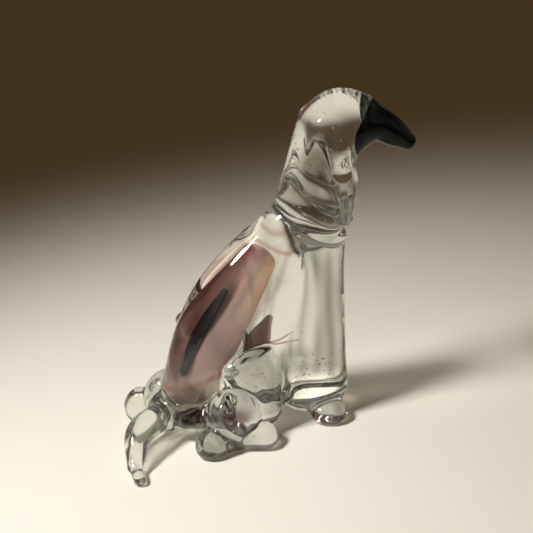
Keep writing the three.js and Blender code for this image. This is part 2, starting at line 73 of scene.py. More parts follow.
Array = np.ndarray
Pair = tuple[float, float]
Triple = tuple[float, float, float]
Four = tuple[float, float, float, float]
Window = tuple[slice, slice, slice]
Socket = bpy.types.NodeSocket
Material = bpy.types.Material

LOG = logging.getLogger("glass_hound")
METRES = 0.001
FAR = 2.6
ACROSS = (0.0, 1.0, 0.0)
UP = (0.0, 0.0, 1.0)
STREAK_STRETCH = (1.0, 1.0, 0.22)
BAND_STRETCH = (1.0, 1.0, 0.16)


class Side(Enum):
    """The two sides of the hound, as the sign of Y."""

    RIGHT = -1
    LEFT = 1


class Slot(Enum):
    """Material slots of the record."""

    CLEAR = "clear_glass"
    BLACK = "black_glass"
    LILAC = "lilac_glass"
    PURPLE = "purple_glass"


def vec(x: float, y: float, z: float) -> Array:
    """A point or direction as an array."""
    return np.array([x, y, z], float)


def unit(vectors: Array) -> Array:
    """Vectors scaled to length one along the last axis."""
    return vectors / np.linalg.norm(vectors, axis=-1, keepdims=True)


def one_sided(points: Array) -> Array:
    """The same points with the right side folded over onto the left."""
    return np.column_stack([points[:, 0], np.abs(points[:, 1]), points[:, 2]])


def smooth_step(low: float, high: float, value: Array) -> Array:
    """Zero at low, one at high, and a smooth cubic between them."""
    share = np.clip((value - low) / (high - low), 0.0, 1.0)
    return share * share * (3.0 - 2.0 * share)


def melt_together(one: Array, other: Array, soft: Array | float) -> Array:
    """Union of two distance fields with a fillet.

    The smaller distance, lowered by a cubic of how nearly equal the two distances are.

    Args:
        one: the first field.
        other: the second field.
        soft: the width of the fillet, one value or one for each cell.

    Returns:
        The melted field.
    """
    share = np.maximum(soft - np.abs(one - other), 0.0) / soft
    return np.minimum(one, other) - share**3 * soft / 6.0


def spline(points: Array, places: Array) -> Array:
    """A Catmull-Rom curve through evenly spaced points.

    Args:
        points: one row for each point.
        places: where to read the curve, from 0 at the first point to 1 at the last.

    Returns:
        One row for each place.
    """
    knots = np.vstack([2 * points[0] - points[1], points, 2 * points[-1] - points[-2]])
    spot = places * (len(points) - 1)
    first = np.minimum(spot.astype(int), len(points) - 2)
    t = (spot - first)[:, None]
    p0, p1, p2, p3 = (knots[first + step] for step in range(4))
    return 0.5 * (2 * p1 + (p2 - p0) * t + (2 * p0 - 5 * p1 + 4 * p2 - p3) * t**2
                  + (3 * p1 - p0 - 3 * p2 + p3) * t**3)


def bowed(start: Array, end: Array, bow: float, places: Array) -> Array:
    """A parabola in the hound's middle plane, bowed out by `bow` halfway from start to end."""
    along = unit(end - start)
    outward = vec(-along[2], 0.0, along[0])
    t = places[:, None]
    return start + (end - start) * t + outward * bow * 4.0 * t * (1.0 - t)


@dataclass(frozen=True)
class Grid:
    """Even cells over a box: the lowest corner, the cell's edge and the number of cells each way."""

    low: Array
    cell: float
    shape: tuple[int, int, int]

    @classmethod
    def over(cls, low: Array, high: Array, cell: float) -> "Grid":
        """A grid that covers the box from low to high."""
        shape = np.ceil((high - low) / cell).astype(int) + 1
        return cls(low, cell, tuple(int(count) for count in shape))

    def window(self, low: Array, high: Array) -> Window:
        """The cells that lie inside a box."""
        first = np.clip(np.floor((low - self.low) / self.cell).astype(int), 0, self.shape)
        last = np.clip(np.ceil((high - self.low) / self.cell).astype(int) + 1, 0, self.shape)
        return tuple(slice(int(a), int(b)) for a, b in zip(first, last))

    def axes(self, window: Window) -> tuple[Array, Array, Array]:
        """X, Y and Z of the cells in a window, shaped so that they spread over it."""
        lines = [low + self.cell * np.arange(part.start, part.stop) for low, part in zip(self.low, window)]
        return tuple(line.astype(np.float32).reshape(np.roll((-1, 1, 1), axis))
                     for axis, line in enumerate(lines))

    def read(self, values: Array, points: Array) -> Array:
        """Values of the grid at any points, weighted from the eight cells round each."""
        spot = np.clip((points - self.low) / self.cell, 0.0, np.array(self.shape) - 1.001)
        base = spot.astype(int)
        share = spot - base
        total = np.zeros(len(points))
        for corner in np.ndindex(2, 2, 2):
            weight = np.prod(np.where(corner, share, 1.0 - share), axis=1)
            total += weight * values[tuple((base + corner).T)]
        return total


class Shape:
    """A body of glass that can tell how far any point lies from its skin."""

    def reach(self) -> tuple[Array, Array]:
        """Lowest and highest corner of the body's box."""
        raise NotImplementedError

    def distance(self, x: Array, y: Array, z: Array) -> Array:
        """Signed distance from the skin, negative inside the glass."""
        raise NotImplementedError


def oval_distance(parts: list[Array], radii: list[Array | float]) -> Array:
    """Distance from an oval or egg: k(k - 1) / g, with k the scaled radius and g its slope."""
    scaled = np.sqrt(sum((part / radius) ** 2 for part, radius in zip(parts, radii)))
    slope = np.sqrt(sum((part / radius**2) ** 2 for part, radius in zip(parts, radii)))
    return scaled * (scaled - 1.0) / np.maximum(slope, 1e-6)


@dataclass(frozen=True)
class Lump(Shape):
    """An egg of glass with half sizes along X, Y and Z, tipped about the Y axis."""

    middle: Array
    half: Array
    tip: float = 0.0

    def reach(self) -> tuple[Array, Array]:
        """Lowest and highest corner of the lump's box."""
        across = math.hypot(self.half[0], self.half[2]) if self.tip else 0.0
        spread = np.maximum(self.half, vec(across, 0.0, across))
        return self.middle - spread, self.middle + spread

    def distance(self, x: Array, y: Array, z: Array) -> Array:
        """Signed distance from the egg."""
        dx, dy, dz = x - self.middle[0], y - self.middle[1], z - self.middle[2]
        turn, rise = math.cos(self.tip), math.sin(self.tip)
        return oval_distance([dx * turn - dz * rise, dy, dx * rise + dz * turn], list(self.half))


@dataclass(frozen=True)
class Rope(Shape):
    """A gather drawn along a path: an oval section with round caps.

    Attributes:
        path: points along the middle, one row each.
        half: [half across, half through] at each point.
        caps: how far the ends reach past the path, or None for the section's mean half size there.
        across: the direction in which the first half size is measured.
        pleats: ridges round half of the section.
        pleat_depth: how far the ridges stand out.
        pleat_share: where along the path the ridges start, and where they reach their full depth.
    """

    path: Array
    half: Array
    caps: tuple[float | None, float | None] = (None, None)
    across: Triple = ACROSS
    pleats: int = 0
    pleat_depth: float = 0.0
    pleat_share: Pair = (0.55, 0.85)

    @property
    def ends(self) -> list[float]:
        """How far the round ends reach past the path."""
        return [float(row.mean()) if cap is None else cap for cap, row in zip(self.caps, self.half[[0, -1]])]

    def reach(self) -> tuple[Array, Array]:
        """Lowest and highest corner of the rope's box."""
        spread = max(float(self.half.max()), *self.ends)
        return self.path.min(0) - spread, self.path.max(0) + spread

    def nearest(self, x: Array, y: Array, z: Array) -> Array:
        """Where along the path each cell lies closest, counted in points."""
        shape = np.broadcast_shapes(x.shape, y.shape, z.shape)
        best = np.full(shape, np.inf, np.float32)
        place = np.zeros(shape, np.float32)
        for index, (start, run) in enumerate(zip(self.path[:-1], np.diff(self.path, axis=0))):
            dx, dy, dz = x - start[0], y - start[1], z - start[2]
            share = np.clip((dx * run[0] + dy * run[1] + dz * run[2]) / (run @ run), 0.0, 1.0)
            gap = (dx - share * run[0]) ** 2 + (dy - share * run[1]) ** 2 + (dz - share * run[2]) ** 2
            closer = gap < best
            best = np.where(closer, gap, best)
            place = np.where(closer, index + share, place)
        return place

    def distance(self, x: Array, y: Array, z: Array) -> Array:
        """Signed distance from the oval section at the nearest place on the path."""
        last = len(self.path) - 1
        ahead = unit(np.gradient(self.path, axis=0))
        across = np.array(self.across)
        side = unit(across - ahead * (ahead * across).sum(1, keepdims=True))
        through = np.cross(ahead, side)
        place = self.nearest(x, y, z)
        first = np.minimum(place.astype(int), last - 1)
        share = place - first

        def blend(rows: Array) -> Array:
            return rows[first] * (1.0 - share) + rows[first + 1] * share

        offset = [axis - blend(self.path[:, index]) for index, axis in enumerate((x, y, z))]
        parts = [sum(offset[index] * blend(rows[:, index]) for index in range(3))
                 for rows in (side, through, ahead)]
        wide, thick = blend(self.half[:, 0]), blend(self.half[:, 1])
        if self.pleats:
            turn = np.arctan2(parts[1] / thick, parts[0] / wide)
            far = smooth_step(*self.pleat_share, place / last)
            wave = self.pleat_depth * far * np.cos(2 * self.pleats * turn)
            wide, thick = wide + wave, thick + wave
        cap = np.where(place < last / 2, *self.ends)
        beyond = (place <= 0.0) | (place >= last)
        return oval_distance([parts[0], parts[1], np.where(beyond, parts[2], 0.0)], [wide, thick, cap])


@dataclass(frozen=True)
class Hood(Rope):
    """A rope whose skin is laid in folds, each lapping over the one below.

    Attributes:
        tiers: how many folds.
        nape: the height of the lowest fold's edge at the nape.
        pitch: the height from one fold to the next.
        drop: how far an edge falls from the nape to the throat.
        lap: how far a fold stands over the one below.
        lip: the share of a fold's height over which its edge rises.
        nape_fade: the shares of the way round between which the folds rise out of the nape.
        hem_overlap: the angle by which the rolled hem runs past itself.
    """

    tiers: int = 1
    nape: float = 0.0
    pitch: float = 1.0
    drop: float = 0.0
    lap: float = 0.0
    lip: float = 0.2
    nape_fade: Pair = (0.02, 0.3)
    hem_overlap: float = 0.2

    def fall(self, share: Array) -> Array:
        """How far an edge has fallen: a sine of the share of the way round to the throat."""
        return self.drop * np.sin(math.pi / 2 * share)

    def share(self, x: Array, y: Array, z: Array) -> Array:
        """How far round from the nape to the throat a point lies, from 0 to 1."""
        ahead = x - np.interp(z, self.path[:, 2], self.path[:, 0])
        return (1.0 + ahead / np.sqrt(ahead**2 + y**2 + 1e-6)) / 2

    def folds_below(self, x: Array, y: Array, z: Array) -> Array:
        """How many folds lie below a point, as its height over the lowest edge counted in pitches."""
        return (z + self.fall(self.share(x, y, z)) - self.nape) / self.pitch

    def distance(self, x: Array, y: Array, z: Array) -> Array:
        """Distance from the rope, less a lap that rises steeply at each edge and dies away above it."""
        below = self.folds_below(x, y, z)
        part = below - np.floor(below)
        lap = smooth_step(0.0, self.lip, part) * (1.0 - smooth_step(self.lip, 1.0, part))
        lap = self.lap * lap * smooth_step(*self.nape_fade, self.share(x, y, z))
        return super().distance(x, y, z) - np.where((below > 0) & (below < self.tiers), lap, 0.0)

    def tier_at(self, x: Array, y: Array, z: Array) -> Array:
        """Which fold a point belongs to, counted from the top, or past the last one below the hood."""
        return np.clip(self.tiers - 1 - np.floor(self.folds_below(x, y, z)), 0, self.tiers).astype(int)

    def hem(self, points: int, roll: Pair, tuck: float) -> Rope:
        """The rolled lower edge: a rope round the hood that thickens from the nape to the throat.

        Args:
            points: points round the hood.
            roll: the roll's radius at the nape and at the throat.
            tuck: how much of the radius is pressed into the hood.

        Returns:
            The roll, overlapping itself a little at the nape.
        """
        turn = np.linspace(-self.hem_overlap, 2 * math.pi + self.hem_overlap, points)
        share = (1.0 - np.cos(turn)) / 2
        radius = roll[0] + (roll[1] - roll[0]) * share
        height = self.nape - self.fall(share) + radius / 2
        rows = (self.path[:, 0], *self.half.T)
        middle, wide, deep = (np.interp(height, self.path[:, 2], row) for row in rows)
        inset = radius * tuck
        ahead, aside = middle - (deep - inset) * np.cos(turn), -(wide - inset) * np.sin(turn)
        path = np.column_stack([ahead, aside, height])
        return Rope(path, np.column_stack([radius, radius]), (roll[0], roll[0]), UP)


@dataclass(frozen=True)
class Gather:
    """One named gather, its shape and how softly it melts into what it is laid on.

    A gather that stands for several nodes gives their names, and which of them each place belongs to.
    """

    name: str
    shape: Shape
    soft: float | Callable[[Array, Array, Array], Array]
    parts: tuple[str, ...] = ()
    part_at: Callable[[Array, Array, Array], Array] | None = None


class Melt:
    """Gathers melted into one body, with the gather that each place belongs to."""

    def __init__(self, grid: Grid) -> None:
        """Starts with no glass at all.

        Args:
            grid: the cells to work on.
        """
        self.grid = grid
        self.field = np.full(grid.shape, FAR, np.float32)
        self.nearest = np.full(grid.shape, FAR, np.float32)
        self.owner = np.full(grid.shape, -1, np.int8)
        self.names: list[str] = []

    def add(self, gather: Gather) -> None:
        """Melts one more gather into the body."""
        low, high = gather.shape.reach()
        window = self.grid.window(low - FAR, high + FAR)
        if any(part.start >= part.stop for part in window):
            return
        axes = self.grid.axes(window)
        distance = gather.shape.distance(*axes).astype(np.float32)
        soft = gather.soft(*axes) if callable(gather.soft) else gather.soft
        self.field[window] = melt_together(self.field[window], distance, soft)
        closer = distance < self.nearest[window]
        self.nearest[window] = np.where(closer, distance, self.nearest[window])
        names = gather.parts or (gather.name,)
        self.names.extend(name for name in names if name not in self.names)
        numbers = np.array([self.names.index(name) for name in names])
        mine = numbers[gather.part_at(*axes)] if gather.part_at else numbers[0]
        self.owner[window] = np.where(closer, mine, self.owner[window])

    def slope(self, points: Array) -> Array:
        """Unit normals of the field at any points, from differences one cell apart."""
        rise = [self.grid.read(self.field, points + step) - self.grid.read(self.field, points - step)
                for step in np.eye(3) * self.grid.cell]
        return unit(np.stack(rise, axis=1) + 1e-12)

    def skin(self) -> tuple[Array, Array, Array]:
        """The closed skin of the body.

        Returns:
            Points, faces of four corners, and unit normals at the points.
        """
        volume = openvdb.FloatGrid(FAR)
        volume.copyFromArray(np.ascontiguousarray(self.field))
        spots, faces = volume.convertToQuads(0.0)
        points = self.grid.low + np.asarray(spots, float) * self.grid.cell
        for _ in range(2):
            points = points - self.slope(points) * self.grid.read(self.field, points)[:, None]
        return points, np.asarray(faces, np.int64), self.slope(points)


@dataclass
class Skin:
    """A mesh under way: points in millimetres, quads, normals at their corners, and flat triangles."""

    points: Array
    quads: Array
    quad_normals: Array
    triangles: Array = field(default_factory=lambda: np.zeros((0, 3), np.int64))

    def place(self, name: str, finishes: list[Material]) -> bpy.types.Object:
        """Makes the object: quads get the first finish and triangles the last.

        Args:
            name: the piece's name.
            finishes: the piece's materials.

        Returns:
            The new object, at the origin, with its place in its mesh.
        """
        mesh = bpy.data.meshes.new(name)
        mesh.from_pydata(self.points * METRES, [], self.quads.tolist() + self.triangles.tolist())
        mesh.polygons.foreach_set("use_smooth", np.ones(len(mesh.polygons), bool))
        slots = np.repeat([0, len(finishes) - 1], [len(self.quads), len(self.triangles)])
        mesh.polygons.foreach_set("material_index", slots.astype(np.int32))
        first, second, third = np.moveaxis(self.points[self.triangles], 1, 0)
        flat = np.repeat(np.cross(second - first, third - first), 3, axis=0)
        mesh.normals_split_custom_set(np.vstack([self.quad_normals.reshape(-1, 3), flat]).tolist())
        for finish in finishes:
            mesh.materials.append(finish)
        piece = bpy.data.objects.new(name, mesh)
        bpy.context.scene.collection.objects.link(piece)
        return piece


def edge_loops(faces: Array) -> tuple[Array, Array]:
    """Open edges of a patch of faces, and the loop that each belongs to.

    An edge is open where no other face runs along it the other way. Loops are found by handing the
    lowest point number from edge to edge until nothing changes.

    Args:
        faces: one row of point numbers for each face.

    Returns:
        Open edges as pairs of points, and a loop number for each.
    """
    edges = np.stack([faces, np.roll(faces, -1, axis=1)], axis=-1).reshape(-1, 2)
    size = int(edges.max()) + 1
    code = edges[:, 0] * size + edges[:, 1]
    edges = edges[~np.isin(edges[:, 1] * size + edges[:, 0], code)]
    label = np.arange(size)
    before = None
    while not np.array_equal(before, label):
        before = label.copy()
        lowest = np.minimum(label[edges[:, 0]], label[edges[:, 1]])
        np.minimum.at(label, edges[:, 0], lowest)
        np.minimum.at(label, edges[:, 1], lowest)
    return edges, label[edges[:, 0]]


def close_patch(points: Array, faces: Array, normals: Array) -> Skin:
    """A patch of the melt's skin as a closed piece.

    Every open loop is closed by a fan of triangles to the middle of the loop: the fused joint.

    Args:
        points: the points of the whole skin.
        faces: the faces of the patch.
        normals: the normals of the whole skin.

    Returns:
        The piece, with the fans as its triangles.
    """
    edges, loops = edge_loops(faces)
    used, faces = np.unique(faces, return_inverse=True)
    faces = faces.reshape(-1, 4)
    corner_normals = normals[used][faces]
    own = points[used]
    if not len(edges):
        return Skin(own, faces, corner_normals)
    edges = np.searchsorted(used, edges)
    _, group = np.unique(loops, return_inverse=True)
    count = np.bincount(group)
    middles = np.stack([np.bincount(group, own[edges[:, 0], axis]) / count for axis in range(3)], axis=1)
    fans = np.column_stack([edges[:, 1], edges[:, 0], len(own) + group])
    return Skin(np.vstack([own, middles]), faces, corner_normals, fans)


@dataclass(frozen=True)
class Torso:
    """Chest column, front paws, back, belly and seat."""

    bite: float = 1.6
    chest_height: float = 32.0
    chest_lean: float = 1.2
    chest_top: Pair = (8.0, 8.2)
    chest_middle: Pair = (10.4, 12.0)
    chest_foot: Pair = (11.0, 13.2)
    chest_foot_height: float = 4.2
    chest_foot_cap: float = 3.7
    chest_bow: float = 0.9
    chest_soft: float = 1.6
    paw: Triple = (6.6, 5.2, 4.2)
    paw_spread: float = 11.0
    paw_reach: float = 1.2
    paw_soft: float = 2.4
    shoulder_behind: float = 4.6
    shoulder_height: float = 36.5
    rump_behind: float = 23.2
    rump_height: float = 7.0
    back_arch: float = 2.9
    shoulder_radius: float = 4.2
    back_radius: float = 6.2
    rump_radius: float = 4.8
    back_flatness: float = 0.5
    back_soft: float = 1.0
    belly_width: float = 7.6
    belly_foot: Pair = (11.5, 7.5)
    belly_top: Pair = (6.5, 28.0)
    belly_depths: Pair = (16.0, 8.0)
    belly_foot_cap: float = 2.6
    belly_soft: float = 5.0
    seat: Triple = (13.0, 13.0, 7.0)
    seat_lift: float = 0.9
    seat_soft: float = 1.8
    sole_share: float = 0.4
    path_points: int = 36

    @property
    def places(self) -> Array:
        """Even places along a path."""
        return np.linspace(0.0, 1.0, self.path_points)

    @property
    def seat_middle(self) -> Array:
        """The middle of the seat, under the rump."""
        return vec(self.bite - self.rump_behind, 0.0, self.seat_lift + self.seat[2] / 2)

    @property
    def back_ends(self) -> tuple[Array, Array]:
        """The rump and the shoulders, in the middle of the back."""
        return (vec(-self.rump_behind, 0.0, self.rump_height),
                vec(-self.shoulder_behind, 0.0, self.shoulder_height))

    def back_path(self) -> Array:
        """The middle of the back, from the rump up to the shoulders."""
        return bowed(*self.back_ends, self.back_arch, self.places)

    def back_at(self, heights: Array) -> Array:
        """The points of the back's middle at some heights, one row each."""
        path = self.back_path()
        return np.column_stack([np.interp(heights, path[:, 2], path[:, 0]), np.zeros_like(heights), heights])

    def chest_column(self) -> Rope:
        """The upright column of the chest and forelegs."""
        path = bowed(vec(0.0, 0.0, self.chest_foot_height), vec(self.chest_lean, 0.0, self.chest_height),
                     self.chest_bow, self.places)
        half = spline(np.array([self.chest_foot, self.chest_middle, self.chest_top]) / 2, self.places)
        return Rope(path, half, (self.chest_foot_cap, None))

    def back_casing(self) -> Rope:
        """The thick leaning gather of the back."""
        deep = np.array([self.rump_radius, self.back_radius, self.shoulder_radius])
        wide = deep - self.back_flatness * np.array([1.0, 1.0, 0.5])
        return Rope(self.back_path(), spline(np.column_stack([wide, deep]), self.places))

    def belly(self) -> Rope:
        """The web of glass between the back and the column."""
        foot, top = (vec(-behind, 0.0, height) for behind, height in (self.belly_foot, self.belly_top))
        depth = np.interp(self.places, [0.0, 1.0], self.belly_depths) / 2
        half = np.column_stack([np.full_like(depth, self.belly_width / 2), depth])
        return Rope(bowed(foot, top, 0.0, self.places), half, (self.belly_foot_cap, None))

    def paw_gather(self, side: Side) -> Gather:
        """A front paw."""
        middle = vec(self.paw_reach, side.value * self.paw_spread / 2, self.paw[2] * self.sole_share)
        return Gather(f"front_paw_{side.name.lower()}", Lump(middle, np.array(self.paw) / 2), self.paw_soft)

    def gathers(self) -> list[Gather]:
        """The torso's gathers, largest first."""
        return [
            Gather("back_casing", self.back_casing(), self.back_soft),
            Gather("chest_column", self.chest_column(), self.chest_soft),
            Gather("belly_gather", self.belly(), self.belly_soft),
            Gather("seat_gather", Lump(self.seat_middle, np.array(self.seat) / 2), self.seat_soft),
            *(self.paw_gather(side) for side in Side),
        ]


@dataclass(frozen=True)
class HindLeg:
    """A thigh, a knee and a foot on one side."""

    side: Side
    haunch_height: float
    haunch_behind: float
    foot_behind: float
    foot_out: float
    heel_height: float
    haunch_length: float = 9.8
    haunch_widths: Pair = (6.6, 5.0)
    haunch_spread: float = 7.8
    haunch_lean: float = 1.6
    haunch_caps: Pair = (2.4, 1.4)
    haunch_soft: float = 1.0
    knee: Triple = (9.8, 8.0, 10.4)
    knee_out: float = 1.1
    knee_soft: float = 0.8
    foot_length: float = 14.6
    foot_bow: float = 1.3
    foot_widths: Triple = (5.0, 5.4, 5.2)
    foot_soft: float = 0.6
    instep_height: float = 6.8
    toe_height: float = 4.8

    def haunch(self, torso: Torso) -> Rope:
        """The thigh: an upright slab that leans back as it rises and ends in a flat, slanting top."""
        aside = self.side.value * self.haunch_spread / 2
        foot = torso.seat_lift + self.haunch_caps[0]
        rise = foot + (self.haunch_height - foot) * torso.places
        lean = self.haunch_behind + self.haunch_lean * torso.places**2
        path = np.column_stack([-lean, np.full_like(rise, aside), rise])
        width = np.interp(torso.places, [0.0, 1.0], self.haunch_widths)
        half = np.column_stack([width, np.full_like(width, self.haunch_length)]) / 2
        return Rope(path, half, self.haunch_caps)

    def knee_lump(self) -> Lump:
        """The folded knee, a dome over the foot."""
        aside = self.side.value * (self.foot_out - self.knee_out)
        return Lump(vec(-self.foot_behind, aside, self.knee[2] / 2), np.array(self.knee) / 2)

    def foot(self, torso: Torso) -> Rope:
        """The long foot, with a lobe for the heel and one for the toes."""
        run = (self.foot_length - self.foot_widths[0]) / 2
        heights = np.array([self.heel_height, self.instep_height, self.toe_height])
        ahead = np.array([-run, 0.0, run]) - self.foot_behind
        out = self.side.value * (self.foot_out + np.array([self.foot_bow, 0.0, self.foot_bow]))
        knots = np.column_stack([ahead, out, heights * torso.sole_share])
        half = spline(np.column_stack([self.foot_widths, heights]) / 2, torso.places)
        return Rope(spline(knots, torso.places), half)

    def gathers(self, torso: Torso) -> list[Gather]:
        """The leg's gathers, from the thigh down."""
        name = self.side.name.lower()
        return [
            Gather(f"haunch_{name}", self.haunch(torso), self.haunch_soft),
            Gather(f"hind_knee_{name}", self.knee_lump(), self.knee_soft),
            Gather(f"hind_foot_{name}", self.foot(torso), self.foot_soft),
        ]


@dataclass(frozen=True)
class Tail:
    """A root knob, a bent rod that swings out to the right, and a pulled tip."""

    root_diameter: float = 7.4
    root_height: float = 4.6
    root_soft: float = 1.0
    thickness: float = 4.8
    end_thickness: float = 2.6
    bend: Pair = (6.8, 5.0)
    end: Triple = (9.2, 10.2, 1.5)
    rod_soft: float = 0.8
    tip_length: float = 3.2
    tip_diameter: float = 2.0
    tip_soft: float = 0.6

    def gathers(self, torso: Torso) -> list[Gather]:
        """The tail's gathers, from the root out."""
        root = vec(torso.bite - torso.rump_behind - torso.rump_radius, 0.0, self.root_height)
        bend = root - vec(*self.bend, 0.0)
        end = vec(root[0] - self.end[0], root[1] - self.end[1], self.end[2])
        tip = vec(end[0], end[1] - self.tip_length, self.tip_diameter * torso.sole_share)
        thick = spline(np.array([[self.thickness], [self.thickness], [self.end_thickness]]) / 2, torso.places)
        fine = np.full((torso.path_points, 2), self.tip_diameter / 2)
        path = spline(np.array([root, bend, end]), torso.places)
        return [
            Gather("tail_root", Lump(root, np.full(3, self.root_diameter / 2)), self.root_soft),
            Gather("tail_rod", Rope(path, np.repeat(thick, 2, axis=1), across=UP), self.rod_soft),
            Gather("tail_tip", Rope(bowed(end, tip, 0.0, torso.places), fine, across=UP), self.tip_soft),
        ]


@dataclass(frozen=True)
class Head:
    """The hood of the mane round the neck, the skull and the ears."""

    crown_height: float = 59.2
    skull: Triple = (11.6, 10.8, 13.0)
    skull_ahead: float = 3.6
    skull_tip: float = 0.4
    skull_soft: float = 2.2
    brow: Triple = (6.6, -1.1, 55.1)
    brow_radius: float = 3.3
    hood_ahead: Four = (-1.3, 0.4, 0.95, 2.2)
    hood_heights: Four = (37.6, 42.7, 47.8, 52.9)
    hood_half_widths: Four = (5.4, 6.0, 5.8, 5.0)
    hood_half_depths: Four = (6.0, 6.5, 5.55, 4.8)
    hood_soft: float = 2.0
    mane_tiers: int = 4
    mane_nape: float = 37.8
    mane_pitch: float = 3.2
    mane_drop: float = 4.4
    mane_lap: float = 0.3
    hem_points: int = 48
    hem_roll: Pair = (0.5, 1.3)
    hem_tuck: float = 0.45
    hem_soft: float = 0.8
    ear_length: float = 17.0
    ear_top_below: float = 5.2
    ear_behind: Four = (3.6, 3.0, 1.2, 0.5)
    ear_widths: Four = (4.0, 6.4, 4.8, 2.6)
    ear_thicknesses: Four = (2.4, 2.8, 2.8, 2.2)
    ear_out: Four = (3.4, 4.6, 5.2, 5.1)
    ear_tilt: float = 0.35
    ear_pleats: int = 4
    ear_pleat_depth: float = 0.2
    ear_soft: Pair = (0.7, 2.4)
    ear_melt_heights: Pair = (46.0, 54.0)

    def hood(self, places: Array) -> Hood:
        """The mane, drawn round the neck like a hood."""
        knots = np.column_stack([self.hood_ahead, np.zeros(4), self.hood_heights])
        half = spline(np.column_stack([self.hood_half_widths, self.hood_half_depths]), places)
        return Hood(spline(knots, places), half, tiers=self.mane_tiers, nape=self.mane_nape,
                    pitch=self.mane_pitch, drop=self.mane_drop, lap=self.mane_lap)

    def ear(self, side: Side, places: Array) -> Rope:
        """A long hanging ear: a broad flap that narrows to a pleated tip."""
        drop = self.ear_length - self.ear_widths[-1] / 2
        knots = np.column_stack([
            self.skull_ahead - np.array(self.ear_behind),
            side.value * np.array(self.ear_out),
            self.crown_height - self.ear_top_below - drop * np.arange(4) / 3,
        ])
        half = spline(np.column_stack([self.ear_widths, self.ear_thicknesses]) / 2, places)
        across = (math.cos(self.ear_tilt), side.value * math.sin(self.ear_tilt), 0.0)
        return Rope(spline(knots, places), half, across=across, pleats=self.ear_pleats,
                    pleat_depth=self.ear_pleat_depth)

    def ear_melt(self, x: Array, y: Array, z: Array) -> Array:
        """How softly the ears melt in: crisp along the hem and in front, soft at the root and behind."""
        crisp, soft = self.ear_soft
        behind = smooth_step(0.0, self.ear_widths[1] / 2, self.skull_ahead - self.ear_behind[1] - x)
        share = np.maximum(smooth_step(*self.ear_melt_heights, z), behind)
        return crisp + (soft - crisp) * np.broadcast_to(share, np.broadcast_shapes(x.shape, y.shape, z.shape))

    def gathers(self, torso: Torso) -> list[Gather]:
        """The head's gathers, from the neck up."""
        hood = self.hood(torso.places)
        tiers = tuple(f"mane_tier_{tier}" for tier in range(1, self.mane_tiers + 1))
        hem = hood.hem(self.hem_points, self.hem_roll, self.hem_tuck)
        middle = vec(self.skull_ahead, 0.0, self.crown_height - self.skull[2] / 2)
        return [
            Gather("hood", hood, self.hood_soft, (*tiers, "neck_core"), hood.tier_at),
            Gather(tiers[-1], hem, self.hem_soft),
            Gather("skull", Lump(middle, np.array(self.skull) / 2, self.skull_tip), self.skull_soft),
            Gather("skull", Lump(np.array(self.brow), np.full(3, self.brow_radius)), self.skull_soft),
            *(Gather(f"ear_{side.name.lower()}", self.ear(side, torso.places), self.ear_melt)
              for side in Side),
        ]


@dataclass(frozen=True)
class Muzzle:
    """The black mask and muzzle, turned to the right, and the seam where it meets the clear skull."""

    turn: float = -0.35
    ahead: Four = (4.6, 7.2, 9.6, 11.8)
    below: Four = (5.7, 6.2, 7.6, 9.0)
    widths: Four = (8.6, 5.6, 4.2, 2.6)
    depths: Four = (8.8, 5.8, 4.6, 2.8)
    bulge: float = 1.4
    soft: float = 1.2
    seam_top: Pair = (5.55, 1.63)
    seam_lean: float = 0.246
    cheek: float = 1.45
    cheek_half: float = 4.5
    stub: float = 0.9
    inset: float = 0.25
    cell: float = 0.11

    def gather(self, head: Head, places: Array) -> Gather:
        """The whole mask as a gather, from inside the skull down to the tip of the muzzle."""
        turn, rise = math.cos(self.turn), math.sin(self.turn)
        ahead = np.array(self.ahead)
        knots = np.column_stack([head.skull_ahead + ahead * turn, ahead * rise,
                                 head.crown_height - np.array(self.below)])
        half = spline(np.column_stack([self.widths, self.depths]) / 2, places)
        shape = Rope(spline(knots, places), half, (self.bulge, None), (-rise, turn, 0.0))
        return Gather("black_muzzle", shape, self.soft)

    def ahead_of_seam(self, head: Head, x: Array, y: Array, z: Array) -> Array:
        """How far a point lies ahead of the seam: a leaning plane, swept back over the cheeks by a square."""
        turn, rise = math.cos(self.turn), math.sin(self.turn)
        ahead = (x - head.skull_ahead) * turn + y * rise - self.seam_top[0]
        aside = y * turn - (x - head.skull_ahead) * rise
        below = head.crown_height - self.seam_top[1] - z
        along = ahead * math.cos(self.seam_lean) + below * math.sin(self.seam_lean)
        return along + self.cheek * (aside / self.cheek_half) ** 2


